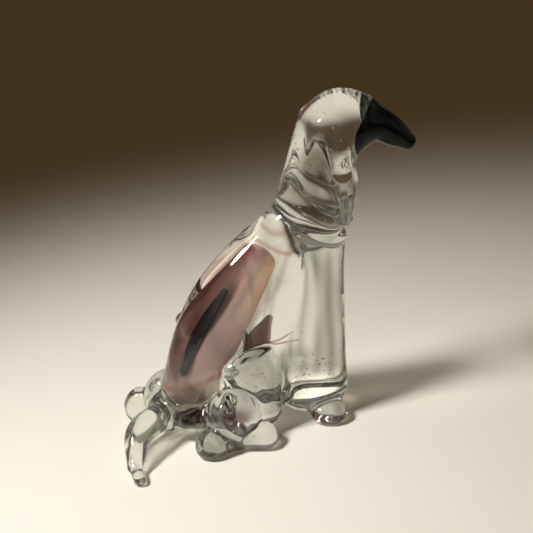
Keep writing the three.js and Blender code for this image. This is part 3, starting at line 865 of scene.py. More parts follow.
@dataclass(frozen=True)
class Amethyst:
    """The lilac core inside the back, the dark stringer in its side and the web along the belly.

    Attributes:
        threads: points along each thread that runs out of the web.
        web_end: how far ahead the web's colour begins to turn into the threads' and has turned.
    """

    core_top: float = 31.0
    core_foot: float = 9.5
    core: Pair = (6.4, 8.2)
    core_taper: float = 3.2
    stringer_diameters: Triple = (1.0, 2.2, 1.0)
    stringer_top: float = 27.0
    stringer_foot: float = 13.0
    stringer_behind: float = 3.1
    stringer_aside: float = 2.3
    web_top: float = 20.0
    web_foot: float = 14.0
    web_reach: float = 2.4
    web_width: float = 2.6
    web_depths: Triple = (2.0, 5.6, 2.0)
    web_end: Pair = (-9.4, -8.2)
    thread_diameter: float = 0.5
    threads: tuple[tuple[Triple, ...], ...] = (
        ((-10.0, -0.9, 15.6), (-7.2, -1.2, 16.2), (-4.6, -1.0, 17.2)),
        ((-10.0, -0.6, 15.4), (-6.6, -0.8, 15.3), (-3.4, -1.4, 15.6)),
    )
    soft: float = 0.3
    cell: float = 0.16
    web_cell: float = 0.11
    lilac: Triple = (0.7, 0.5, 0.49)
    maroon: Triple = (0.27, 0.14, 0.13)
    dark: Triple = (0.035, 0.022, 0.03)
    # Grey and amber of the core's top, lightened as painted lamp light.
    grey_and_painted_light: Triple = (0.5, 0.45, 0.46)
    amber_and_painted_light: Triple = (0.98, 0.76, 0.6)
    rose: Triple = (0.6, 0.19, 0.17)
    cream: Triple = (0.86, 0.79, 0.69)
    web: Triple = (0.18, 0.09, 0.07)
    thread: Triple = (1.0, 0.82, 0.75)

    def core_rope(self, torso: Torso) -> Rope:
        """The core, tapering towards the shoulders."""
        heights = np.linspace(self.core_top, self.core_foot, 3)
        full = np.array(self.core) / 2
        half = spline(np.array([full - self.core_taper / 2, full, full]), torso.places)
        return Rope(spline(torso.back_at(heights), torso.places), half)

    def stringer_rope(self, torso: Torso) -> Rope:
        """The stringer in the right side of the core, thin at both ends."""
        heights = np.linspace(self.stringer_top, self.stringer_foot, 3)
        beside = vec(-self.stringer_behind, Side.RIGHT.value * self.stringer_aside, 0.0)
        half = spline(np.column_stack([self.stringer_diameters] * 2) / 2, torso.places)
        return Rope(spline(torso.back_at(heights) + beside, torso.places), half)

    def web_rope(self, torso: Torso) -> Rope:
        """The web: a thin flap along the belly side of the back."""
        rump, shoulder = torso.back_ends
        run = (shoulder - rump) / (shoulder - rump)[2]
        out = vec(torso.back_radius - torso.back_arch + self.web_reach, 0.0, 0.0)
        foot, top = (rump + run * (height - rump[2]) + out for height in (self.web_foot, self.web_top))
        depth = spline(np.array(self.web_depths)[:, None] / 2, torso.places)[:, 0]
        half = np.column_stack([np.full_like(depth, self.web_width / 2), depth])
        return Rope(bowed(foot, top, 0.0, torso.places), half)

    def thread_ropes(self, torso: Torso) -> list[Rope]:
        """Thin threads that run out of the web towards the chest, down to half their thickness."""
        half = np.column_stack([np.linspace(1.0, 0.5, torso.path_points) * self.thread_diameter / 2] * 2)
        return [Rope(spline(np.array(knots), torso.places), half, (self.thread_diameter / 4,) * 2)
                for knots in self.threads]

    def core_tint(self, torso: Torso, points: Array) -> Array:
        """The colours of the core: maroon behind, lilac in the middle, grey and amber above, lightened there
        as painted lamp light, cream below.

        Each colour lies where two measures say: how far down the core a place is, and how far behind its
        middle, both as shares, with a slow wander along the core.

        Args:
            torso: the torso that the core lies in.
            points: places on the core's skin.

        Returns:
            Red, green and blue at each place.
        """
        path = torso.back_path()
        x, y, z = points.T
        down = (self.core_top - z) / (self.core_top - self.core_foot)
        wander = 0.12 * np.sin(5.1 * down + 0.8) + 0.06 * np.sin(13.0 * down + y)
        behind = (np.interp(z, path[:, 2], path[:, 0]) - x) / (self.core[1] / 2) + wander
        tint = np.tile(np.array(self.lilac), (len(points), 1))
        # The grey and the amber on top are lightened as painted lamp light; the other colours are the core's
        # own.
        for colour, share in (
            (self.grey_and_painted_light, smooth_step(0.65, 0.2, down) * smooth_step(0.45, 0.1, np.abs(behind + 0.1))),
            (self.amber_and_painted_light, smooth_step(0.6, 0.2, down) * smooth_step(0.1, -0.3, behind)),
            (self.maroon, smooth_step(0.4, 0.75, behind) * smooth_step(0.98, 0.8, down)),
            (self.dark, smooth_step(0.3, 0.1, np.abs(behind - 0.62))
             * smooth_step(0.5, 0.25, np.abs(down - 0.5))),
            (self.rose, smooth_step(0.05, 0.0, np.abs(down - 0.93 - 0.08 * behind)) * 0.7),
            (self.rose, smooth_step(0.06, 0.0, np.abs(down + 0.02 + 0.05 * behind)) * 0.3),
            (self.cream, smooth_step(0.95, 1.02, down - 0.08 * behind)),
        ):
            tint = tint + (np.array(colour) - tint) * share[:, None]
        return tint

    def web_tint(self, points: Array) -> Array:
        """The colours of the web: maroon behind, running out into rose threads."""
        share = smooth_step(*self.web_end, points[:, 0])[:, None]
        return np.array(self.thread) * share + np.array(self.web) * (1.0 - share)


class Shading:
    """Adds nodes to one tree and links them."""

    def __init__(self, tree: bpy.types.NodeTree) -> None:
        """Starts on an empty tree.

        Args:
            tree: the material's, world's or group's own tree.
        """
        self.tree = tree
        tree.nodes.clear()

    def add(self, kind: str, inputs: dict | None = None, **settings) -> bpy.types.Node:
        """Adds a node.

        Args:
            kind: the node's type.
            inputs: plain values, or sockets to link, by the name or number of the input.
            settings: the node's own properties.

        Returns:
            The new node.
        """
        node = self.tree.nodes.new(kind)
        for name, value in settings.items():
            setattr(node, name, value)
        for name, value in (inputs or {}).items():
            socket = node.inputs[name]
            if isinstance(value, Socket):
                self.tree.links.new(value, socket)
            else:
                socket.default_value = (*value, 1.0) if socket.type == "RGBA" else value
        return node

    def ramp(self, share: Socket, stops: tuple[tuple[float, Triple], ...]) -> Socket:
        """A smooth ramp of colours.

        Args:
            share: what drives the ramp.
            stops: places and colours.

        Returns:
            The ramp's colour socket.
        """
        node = self.add("ShaderNodeValToRGB", {"Fac": share})
        elements = node.color_ramp.elements
        node.color_ramp.interpolation = "EASE"
        while len(elements) < len(stops):
            elements.new(0.5)
        for element, (place, colour) in zip(elements, stops):
            element.position = place
            element.color = (*colour, 1.0)
        return node.outputs["Color"]

    def mix(self, share: Socket | float, one: Socket | Triple, other: Socket | Triple,
            blend_type: str = "MIX") -> Socket:
        """Mixes two colours by a share."""
        inputs = {0: share, 6: one, 7: other}
        return self.add("ShaderNodeMix", inputs, data_type="RGBA", blend_type=blend_type).outputs[2]

    def math(self, operation: str, *values: Socket | float) -> Socket:
        """Works out one sum."""
        return self.add("ShaderNodeMath", dict(enumerate(values)), operation=operation).outputs[0]

    def place(self) -> Socket:
        """Places in the object's own space."""
        return self.add("ShaderNodeTexCoord").outputs["Object"]

    def attribute(self, name: str) -> bpy.types.bpy_prop_collection:
        """What the mesh carries under a name."""
        return self.add("ShaderNodeAttribute", attribute_name=name).outputs

    def noise(self, vector: Socket, scale: Socket | float, detail: float, distortion: float = 0.0) -> Socket:
        """Soft noise from 0 to 1."""
        return self.add("ShaderNodeTexNoise", {"Vector": vector, "Scale": scale, "Detail": detail,
                                               "Distortion": distortion}).outputs["Fac"]

    def stretch(self, vector: Socket, scale: Triple, turn: float = 0.0, shift: Triple = (0.0,) * 3) -> Socket:
        """Places scaled along the axes, turned about Y and shifted."""
        return self.add("ShaderNodeMapping", {"Vector": vector, "Scale": scale, "Rotation": (0.0, turn, 0.0),
                                              "Location": shift}).outputs["Vector"]

    def near(self, vector: Socket, middle: Array, radius: float) -> Socket:
        """One at a middle, falling to zero at a radius round it."""
        spot = self.stretch(vector, (1.0 / (radius * METRES),) * 3, shift=tuple(-middle / radius))
        return self.add("ShaderNodeTexGradient", {"Vector": spot}, gradient_type="SPHERICAL").outputs["Fac"]


def new_material(name: str) -> tuple[Material, Shading]:
    """A new material and its empty tree."""
    material = bpy.data.materials.new(name)
    material.use_nodes = True
    return material, Shading(material.node_tree)


def fire_polish_group() -> bpy.types.NodeTree:
    """The slow waves and drawn-out streaks of glass worked in a flame, shared by every glass.

    Returns:
        A group that puts out the height of the waves and a mask of the streaks.
    """
    tree = bpy.data.node_groups.new("fire_polish", "ShaderNodeTree")
    shading = Shading(tree)
    for name, way, kind in (
        ("Vector", "INPUT", "Vector"), ("Wave Scale", "INPUT", "Float"), ("Streak Scale", "INPUT", "Float"),
        ("Height", "OUTPUT", "Float"), ("Streak", "OUTPUT", "Float"),
    ):
        tree.interface.new_socket(name, in_out=way, socket_type=f"NodeSocket{kind}")
    given = shading.add("NodeGroupInput").outputs
    waves = shading.noise(given["Vector"], given["Wave Scale"], 1.0)
    drawn = shading.stretch(given["Vector"], STREAK_STRETCH)
    streaks = shading.noise(drawn, given["Streak Scale"], 3.0, 0.6)
    shading.add("NodeGroupOutput", {"Height": waves, "Streak": streaks})
    return tree


@dataclass(frozen=True)
class Finish:
    """What every finish of the hound shares: a Principled shader with waves in its surface."""

    name: str
    polish: bpy.types.NodeTree
    wave_scale: float = 230.0
    wave_depth: float = 0.0001
    streak_scale: float = 260.0
    ior: float = 1.5
    roughness: float = 0.5
    specular: float = 0.5
    transmission: float = 0.0
    alpha: float = 1.0

    def colour(self, shading: Shading, place: Socket, streak: Socket) -> Socket:
        """The base colour.

        Args:
            shading: the material's shading.
            place: places in the object's own space.
            streak: the mask of the drawn streaks.

        Returns:
            A colour socket.
        """
        raise NotImplementedError

    def light_passed(self, shading: Shading) -> Socket | Triple | None:
        """How much of a lamp's light passes each skin, or None where lamps see the shader itself."""
        return None

    def material(self) -> Material:
        """Builds the material; lamps may shine through it, and everything else sees the shader."""
        material, shading = new_material(self.name)
        place = shading.place()
        polish = shading.add("ShaderNodeGroup", {"Vector": place, "Wave Scale": self.wave_scale,
                                                 "Streak Scale": self.streak_scale}, node_tree=self.polish)
        bump = shading.add("ShaderNodeBump", {"Height": polish.outputs["Height"], "Strength": 1.0,
                                              "Distance": self.wave_depth})
        surface = shading.add("ShaderNodeBsdfPrincipled", {
            "Base Color": self.colour(shading, place, polish.outputs["Streak"]),
            "Normal": bump.outputs["Normal"], "IOR": self.ior, "Roughness": self.roughness,
            "Alpha": self.alpha, "Specular IOR Level": self.specular,
            "Transmission Weight": self.transmission,
        }).outputs[0]
        passed = self.light_passed(shading)
        if passed is not None:
            through = shading.add("ShaderNodeBsdfTransparent", {"Color": passed}).outputs[0]
            rays = shading.add("ShaderNodeLightPath").outputs["Is Shadow Ray"]
            surface = shading.add("ShaderNodeMixShader", {0: rays, 1: surface, 2: through}).outputs[0]
        shading.add("ShaderNodeOutputMaterial", {"Surface": surface})
        return material


@dataclass(frozen=True)
class ClearGlass(Finish):
    """Clear glass with a faint warm cast and drawn streaks, dimmed by the painted shade that the mesh
    carries.
    """

    bright: Triple = (0.98, 0.955, 0.885)
    deep: Triple = (0.92, 0.91, 0.83)
    roughness: float = 0.0
    transmission: float = 0.985

    def colour(self, shading: Shading, place: Socket, streak: Socket) -> Socket:
        """Streaks of two tints, under the painted shade."""
        streaked = shading.mix(streak, self.deep, self.bright)
        # The mesh's tint carries painted shade.
        return shading.mix(1.0, streaked, shading.attribute("tint")["Color"], "MULTIPLY")

    def light_passed(self, shading: Shading) -> Socket:
        """The share that the mesh carries."""
        return shading.attribute("tint")["Alpha"]


@dataclass(frozen=True)
class FusedJoint(Finish):
    """The faces inside the body where one gather has run into the next, which nothing shows."""

    tint: Triple = (0.95, 0.97, 0.95)
    alpha: float = 0.0

    def colour(self, shading: Shading, place: Socket, streak: Socket) -> Socket:
        """Nearly white streaks."""
        return shading.mix(streak, self.tint, (1.0, 1.0, 1.0))


@dataclass(frozen=True)
class BlackGlass(Finish):
    """Black glass that thins to red-brown at the seam."""

    black: Triple = (0.002, 0.002, 0.002)
    sheen: Triple = (0.005, 0.004, 0.004)
    rim: Triple = (0.07, 0.012, 0.008)
    roughness: float = 0.07
    specular: float = 0.15

    def colour(self, shading: Shading, place: Socket, streak: Socket) -> Socket:
        """Black streaks, and the rim that the mesh carries."""
        body = shading.mix(streak, self.black, self.sheen)
        return shading.mix(shading.attribute("rim")["Fac"], body, self.rim)


@dataclass(frozen=True)
class AmethystGlass(Finish):
    """Coloured glass cased in clear glass of the same index, so its skin doesn't bend light.

    Attributes:
        slope: the lean of the core, along which its bands run.
        stops: the colours from one side of a band to the other.
        tinted: whether the bands lie over the tint that the mesh carries.
        light_share: how much of a lamp's light passes each skin.
    """

    slope: float = 0.0
    stops: tuple[tuple[float, Triple], ...] = ()
    tinted: bool = True
    light_share: Triple = (0.5, 0.5, 0.5)
    ior: float = 1.0
    roughness: float = 0.1
    transmission: float = 0.6

    def colour(self, shading: Shading, place: Socket, streak: Socket) -> Socket:
        """Bands drawn out along the core."""
        along = shading.stretch(place, BAND_STRETCH, self.slope)
        colour = shading.ramp(shading.noise(along, self.streak_scale, 2.5, 0.4), self.stops)
        if self.tinted:
            colour = shading.mix(1.0, shading.attribute("tint")["Color"], colour, "MULTIPLY")
        return colour

    def light_passed(self, shading: Shading) -> Triple:
        """An even share."""
        return self.light_share


@dataclass(frozen=True)
class Stage:
    """A pale floor in a pool of soft light, a dim warm room, and the camera.

    Attributes:
        painted_pool_glow: the painted glow of the floor where it is seen through the glass, inside the pool.
        glow_share: how much of what is seen of the floor through the glass is that painted glow.
        painted_caustic_middle: where on the floor a painted bright spot stands for the light that the chest
            gathers.
        room_dark: the darker patches of the room as the glass shows them.
        joints_passed: how many unseen faces inside the glass a ray may pass.
    """

    target: Triple = (-8.795, 0.0, 29.3)
    azimuth: float = -20.0
    elevation: float = 24.0
    distance: float = 200.0
    half_view: float = 45.3
    floor_radius: float = 1500.0
    floor_drop: float = 0.02
    floor_rings: int = 24
    floor_sides: int = 96
    paper: Triple = (0.92, 0.9, 0.83)
    paper_shade: Triple = (0.89, 0.865, 0.79)
    paper_scale: float = 90.0
    paper_roughness: float = 0.8
    room: Triple = (0.058, 0.036, 0.016)
    lamp_from: Triple = (-0.66, -0.11, 0.75)
    lamp_distance: float = 320.0
    lamp_radius: float = 34.0
    lamp_spread: float = 50.0
    lamp_power: float = 5.2
    lamp_colour: Triple = (1.0, 0.975, 0.925)
    pool_middle: Triple = (-8.0, -28.0, 0.0)
    pool_radius: float = 150.0
    pool_edge: float = 0.55
    # Painted light: the floor's glow through the glass, and its painted caustic.
    painted_pool_glow: Triple = (0.86, 0.83, 0.74)
    glow_share: float = 0.65
    painted_caustic_middle: Triple = (5.0, 11.0, 0.0)
    painted_caustic_radius: float = 7.0
    painted_caustic_gain: float = 2.0
    room_dark: Triple = (0.05, 0.047, 0.04)
    room_light: Triple = (0.34, 0.335, 0.31)
    room_scale: float = 1.7
    room_edges: Pair = (0.36, 0.64)
    joints_passed: int = 64

    def floor(self, origin: Array) -> None:
        """The floor: a flat disc of rings whose radii grow by a square."""
        radius = self.floor_radius * (np.arange(1, self.floor_rings + 1) / self.floor_rings) ** 2
        turn = 2 * math.pi * np.arange(self.floor_sides) / self.floor_sides
        ring = np.stack([np.cos(turn), np.sin(turn), np.zeros_like(turn)], axis=1)
        points = np.vstack([np.zeros((1, 3)), (radius[:, None, None] * ring).reshape(-1, 3)])
        points = points + origin - vec(0.0, 0.0, self.floor_drop)
        cell = 1 + np.arange(self.floor_rings * self.floor_sides).reshape(-1, self.floor_sides)
        beside = np.roll(cell, -1, axis=1)
        fan = np.stack([np.zeros_like(cell[0]), cell[0], beside[0]], axis=1)
        quads = np.stack([cell[:-1], cell[1:], beside[1:], beside[:-1]], axis=-1).reshape(-1, 4)
        mesh = bpy.data.meshes.new("floor")
        mesh.from_pydata(points * METRES, [], fan.tolist() + quads.tolist())
        mesh.materials.append(self.paper_finish(origin))
        floor = bpy.data.objects.new("floor", mesh)
        bpy.context.scene.collection.objects.link(floor)

    def paper_finish(self, origin: Array) -> Material:
        """Smooth pale paper, faintly mottled; through the glass it also shows a painted glow of the pool of
        light, brighter at a painted caustic.
        """
        material, shading = new_material("pale_paper")
        place = shading.place()
        colour = shading.mix(shading.noise(place, self.paper_scale, 4.0), self.paper_shade, self.paper)
        paper = shading.add("ShaderNodeBsdfPrincipled", {
            "Base Color": colour, "Roughness": self.paper_roughness, "Specular IOR Level": 0.0,
        }).outputs[0]
        # Painted light: seen through the glass, the floor glows with the pool of light.
        pool = shading.near(place, np.zeros(3), self.pool_radius)
        lit = shading.ramp(pool, ((0.0, self.room), (self.pool_edge, self.painted_pool_glow)))
        # A painted caustic: the glow is brighter round one spot, where the chest gathers light.
        spot = shading.near(place, np.array(self.painted_caustic_middle) + origin, self.painted_caustic_radius)
        gain = shading.math("MULTIPLY_ADD", spot, self.painted_caustic_gain, 1.0)
        glow = shading.add("ShaderNodeEmission", {"Color": lit, "Strength": gain}).outputs[0]
        seen = shading.add("ShaderNodeLightPath").outputs["Is Transmission Ray"]
        share = shading.math("MULTIPLY", seen, self.glow_share)
        both = shading.add("ShaderNodeMixShader", {0: share, 1: paper, 2: glow}).outputs[0]
        shading.add("ShaderNodeOutputMaterial", {"Surface": both})
        return material

    def light(self, origin: Array) -> None:
        """A soft lamp above the hound's back, and the dim room, which the glass shows in patches."""
        lamp = bpy.data.lights.new("key_lamp", "SPOT")
        lamp.energy = self.lamp_power
        lamp.color = self.lamp_colour
        lamp.shadow_soft_size = self.lamp_radius * METRES
        lamp.spot_size = math.radians(self.lamp_spread)
        lamp.spot_blend = 1.0
        place = np.array(self.target) + origin + unit(np.array(self.lamp_from)) * self.lamp_distance
        self.point_at(bpy.data.objects.new("key_lamp", lamp), place, np.array(self.pool_middle) + origin)
        world = bpy.data.worlds.new("dim_room")
        bpy.context.scene.world = world
        world.use_nodes = True
        shading = Shading(world.node_tree)
        rays = shading.add("ShaderNodeLightPath").outputs
        inside = shading.math("MAXIMUM", rays["Is Glossy Ray"], rays["Is Transmission Ray"])
        around = shading.add("ShaderNodeTexCoord").outputs["Generated"]
        patches = shading.noise(around, self.room_scale, 1.0)
        seen = shading.ramp(patches, tuple(zip(self.room_edges, (self.room_dark, self.room_light))))
        colour = shading.mix(inside, self.room, seen)
        room = shading.add("ShaderNodeBackground", {"Color": colour, "Strength": 1.0})
        shading.add("ShaderNodeOutputWorld", {"Surface": room.outputs[0]})

    def camera(self, origin: Array) -> None:
        """The camera, looking at the hound's right side from a little behind and above."""
        turn, lift = math.radians(self.azimuth), math.radians(self.elevation)
        back = vec(math.sin(turn) * math.cos(lift), -math.cos(turn) * math.cos(lift), math.sin(lift))
        view = bpy.data.cameras.new("camera")
        view.angle = 2 * math.atan(self.half_view / self.distance)
        camera = bpy.data.objects.new("camera", view)
        target = np.array(self.target) + origin
        self.point_at(camera, target + back * self.distance, target)
        bpy.context.scene.camera = camera

    @staticmethod
    def point_at(thing: bpy.types.Object, place: Array, aim: Array) -> None:
        """Puts a lamp or camera at a place, looking at a point."""
        back = unit(place - aim)
        right = unit(np.cross(UP, back))
        turn = np.eye(4)
        turn[:3, :3] = np.column_stack([right, np.cross(back, right), back])
        turn[:3, 3] = place * METRES
        thing.matrix_world = Matrix(turn.tolist())
        bpy.context.scene.collection.objects.link(thing)

    def build(self, origin: Array) -> None:
        """Sets the whole stage and the plain view transform."""
        self.floor(origin)
        self.light(origin)
        self.camera(origin)
        bpy.context.scene.view_settings.view_transform = "Standard"
        bpy.context.scene.cycles.transparent_max_bounces = self.joints_passed


@dataclass(frozen=True)
class PaintedShade:
    """Painted shade: places where the clear glass is painted darker, as it looks where it shows the dark room
    and the shaded floor.

    Attributes:
        shade_clouds: the middle, the radii and the colour of each cloud of painted shade, which lies on both
            sides.
        cloud_core: the share of a cloud's radii inside which it has its full colour.
        veils: points ahead and up along each veil, with its width and colour.
        veil_rise: a veil that rises by more is measured across, and a flatter one up and down.
        veil_fade: how far a veil runs out past its ends.
        chest_shade: the painted shade of the chest round its clear window.
        chest_ahead: how far ahead the chest's painted shade begins, and where it is full.
        chest_heights: the same of its height.
        window: the middle and the radii of that window, ahead and up.
        glint: the same of the clear place at the foot of the chest, where the floor's painted bright spot
            shows through.
        window_edge: the shares of the radii between which a window ends.
        shade_streaks: how many streaks of the chest's painted shade stand round the chest.
        shade_streak_sway: how far, and how fast along their height, the streaks sway.
        passes: the share of a lamp's light that passes the skin, low and high on the body.
        pass_heights: the heights between which that share changes.
    """

    # Painted shade: each cloud darkens the clear glass where it shows the dark room and the shaded floor.
    shade_clouds: tuple[tuple[Triple, Triple, Triple], ...] = (
        ((-2.4, 5.5, 48.5), (4.8, 4.8, 6.5), (0.17, 0.15, 0.12)),
        ((-1.0, 6.0, 39.5), (4.5, 5.0, 7.0), (0.55, 0.53, 0.48)),
        ((-13.5, 8.5, 13.5), (8.0, 7.5, 8.0), (0.29, 0.29, 0.26)),
        ((5.4, 1.0, 8.0), (2.4, 5.0, 4.5), (0.3, 0.3, 0.28)),
        ((-4.0, 5.5, 10.0), (7.5, 6.5, 3.6), (0.36, 0.36, 0.34)),
        ((-24.0, 4.0, 7.5), (6.0, 6.5, 5.5), (0.15, 0.11, 0.11)),
        ((-18.5, 11.0, 7.0), (6.0, 5.5, 2.8), (0.14, 0.075, 0.08)),
        ((-21.0, 10.0, 2.0), (9.0, 7.0, 4.5), (0.42, 0.43, 0.4)),
        ((-27.0, 2.0, 5.5), (4.5, 5.5, 5.0), (0.55, 0.56, 0.52)),
        ((-31.0, 4.0, 3.0), (6.0, 8.0, 7.0), (0.92, 0.93, 0.9)),
    )
    cloud_core: float = 0.3
    veils: tuple[tuple[tuple[Pair, ...], float, Triple], ...] = (
        (((-8.2, 34.3), (-10.0, 30.0), (-11.8, 25.7), (-13.6, 22.7)), 2.4, (0.88, 0.75, 0.64)),
        (((-5.8, 34.6), (-7.9, 29.7), (-9.3, 25.3), (-9.8, 19.8)), 1.2, (0.6, 0.57, 0.5)),
        (((-11.4, 35.6), (-8.2, 33.7), (-6.1, 32.8), (-4.3, 33.8)), 0.7, (0.6, 0.36, 0.3)),
        (((-13.0, 34.6), (-18.0, 30.4), (-21.6, 25.5), (-23.6, 20.7)), 2.6, (0.3, 0.16, 0.15)),
    )
    veil_rise: float = 4.0
    veil_fade: float = 1.2
    # Painted shade on the chest, left out in the window and at the glint.
    chest_shade: Triple = (0.36, 0.36, 0.32)
    chest_ahead: Pair = (-12.0, -8.5)
    chest_heights: Pair = (35.0, 30.0)
    window: tuple[Pair, Pair] = ((-6.5, 22.5), (5.5, 11.0))
    glint: tuple[Pair, Pair] = ((-1.6, 6.0), (4.2, 4.0))
    window_edge: Pair = (0.8, 1.15)
    # Streaks that break up the chest's painted shade.
    shade_streaks: float = 13.0
    shade_streak_depth: float = 0.6
    shade_streak_behind: float = 1.5
    shade_streak_sway: Pair = (0.5, 0.35)
    passes: Pair = (0.02, 0.8)
    pass_heights: Pair = (24.0, 39.0)

    def veil_share(self, knots: tuple[Pair, ...], width: float, x: Array, z: Array) -> Array:
        """How dense one veil is at each place: full along its line, fading across it and past its ends."""
        ahead, up = np.array(knots).T
        if abs(up[0] - up[-1]) > self.veil_rise:
            away = np.abs(x - np.interp(z, up[::-1], ahead[::-1]))
        else:
            away = np.abs(z - np.interp(x, ahead, up))
        share = smooth_step(width, 0.0, away)
        for value, row in ((z, up), (x, ahead)):
            share = share * smooth_step(self.veil_fade, 0.0, np.maximum(value - row.max(), row.min() - value))
        return share

    def chest_shade_share(self, x: Array, y: Array, z: Array) -> Array:
        """How dense the chest's painted shade is at each place: none in its windows, and streaked round it.
        """
        share = smooth_step(*self.chest_ahead, x) * smooth_step(*self.chest_heights, z)
        for middle, radii in (self.window, self.glint):
            away = np.hypot((x - middle[0]) / radii[0], (z - middle[1]) / radii[1])
            share = share * smooth_step(*self.window_edge, away)
        sway, pace = self.shade_streak_sway
        around = self.shade_streaks * np.arctan2(y, x + self.shade_streak_behind) + sway * np.sin(pace * z)
        return share * (1.0 - self.shade_streak_depth * (0.5 + 0.5 * np.sin(around)))

    def tint(self, points: Array) -> Array:
        """The painted shade by which the glass is dimmed, and how much of a lamp's light gets through.

        Args:
            points: places in the hound's frame.

        Returns:
            Red, green, blue and the share of light at each place.
        """
        x, y, z = points.T
        layers = []
        # Clouds of painted shade.
        for middle, radii, colour in self.shade_clouds:
            away = np.linalg.norm((one_sided(points) - middle) / np.array(radii), axis=1)
            layers.append((colour, smooth_step(1.0, self.cloud_core, away)))
        layers += [(colour, self.veil_share(knots, width, x, z)) for knots, width, colour in self.veils]
        # The chest's painted shade.
        layers.append((self.chest_shade, self.chest_shade_share(x, y, z)))
        tint = np.ones((len(points), 3))
        for colour, share in layers:
            tint = tint * (1.0 - share[:, None] * (1.0 - np.array(colour)))
        low, high = self.passes
        return np.column_stack([tint, low + (high - low) * smooth_step(*self.pass_heights, z)])


@dataclass(frozen=True)
class Seeds:
    """Tiny bubbles left in the glass, most of them in the head and in nests.

    Attributes:
        nests: the middle and the spread of each place full of seeds, which lies on both sides.
        nest_share: how much likelier a seed is in the middle of a nest.
        depth: how deep in clear glass a seed lies at least.
        spacing: how far apart two seeds lie at least, in radii of the largest.
        draw: the start of the random draw.
    """

    count: int = 260
    radii: Pair = (0.05, 0.15)
    nests: tuple[tuple[Triple, float], ...] = (
        ((-1.6, 5.0, 46.5), 1.6), ((-1.5, 5.0, 8.0), 3.0),
        ((-12.5, 8.0, 12.0), 3.0), ((-20.0, 9.5, 4.0), 3.0),
    )
    nest_share: float = 60.0
    depth: float = 0.5
    spacing: float = 2.5
    head_height: float = 36.0
    head_share: float = 4.0
    steps: int = 3
    draw: int = 7

    def ball(self) -> tuple[Array, Array]:
        """A unit ball of square patches: the six sides of a cube, blown out to a sphere.

        Returns:
            Points and faces that look inwards, as the wall of a bubble does from the glass.
        """
        line = np.tan(np.linspace(-math.pi / 4, math.pi / 4, self.steps + 1))
        one, other = (grid.ravel() for grid in np.meshgrid(line, line, indexing="ij"))
        corner = np.arange((self.steps + 1) ** 2).reshape(self.steps + 1, -1)
        corners = [corner[:-1, :-1], corner[1:, :-1], corner[1:, 1:], corner[:-1, 1:]]
        quad = np.stack(corners, axis=-1).reshape(-1, 4)
        points, faces = [], []
        for axis in range(3):
            for sign in (-1.0, 1.0):
                side = np.stack([np.full_like(one, sign), one, other], axis=1)
                faces.append((quad[:, ::-1] if sign > 0 else quad) + len(points) * len(one))
                points.append(np.roll(side, axis, axis=1))
        merged, index = np.unique(np.round(unit(np.vstack(points)), 6), axis=0, return_inverse=True)
        return merged, index.reshape(-1)[np.vstack(faces)]

    def scatter(self, melt: Melt, keep_out: list[Shape]) -> tuple[Array, Array]:
        """Middles and radii of the bubbles, drawn from the cells that lie deep enough in clear glass."""
        spots = melt.grid.low + np.argwhere(melt.field < -self.depth) * melt.grid.cell
        clear = np.ones(len(spots), bool)
        for shape in keep_out:
            clear &= shape.distance(*spots.T.astype(np.float32)) > self.depth
        spots = spots[clear]
        chance = np.where(spots[:, 2] > self.head_height, self.head_share, 1.0)
        for middle, spread in self.nests:
            away = np.linalg.norm(one_sided(spots) - middle, axis=1)
            chance = chance + self.nest_share * np.exp(-0.5 * (away / spread) ** 2)
        random = np.random.default_rng(self.draw)
        middles = spots[random.choice(len(spots), self.count, replace=False, p=chance / chance.sum())]
        close = np.linalg.norm(middles[:, None] - middles, axis=-1) < self.spacing * self.radii[1]
        middles = middles[~np.tril(close, -1).any(axis=1)]
        return middles, random.uniform(*self.radii, len(middles))

    def open_in(self, skin: Skin, middles: Array, radii: Array) -> Skin:
        """The piece with its bubbles, as hollows in the glass."""
        ball, faces = self.ball()
        first = len(skin.points) + len(ball) * np.arange(len(middles))
        points = (middles[:, None] + radii[:, None, None] * ball).reshape(-1, 3)
        walls = (first[:, None, None] + faces).reshape(-1, 4)
        normals = np.tile(-ball[faces], (len(middles), 1, 1))
        return Skin(np.vstack([skin.points, points]), np.vstack([skin.quads, walls]),
                    np.vstack([skin.quad_normals, normals]), skin.triangles)


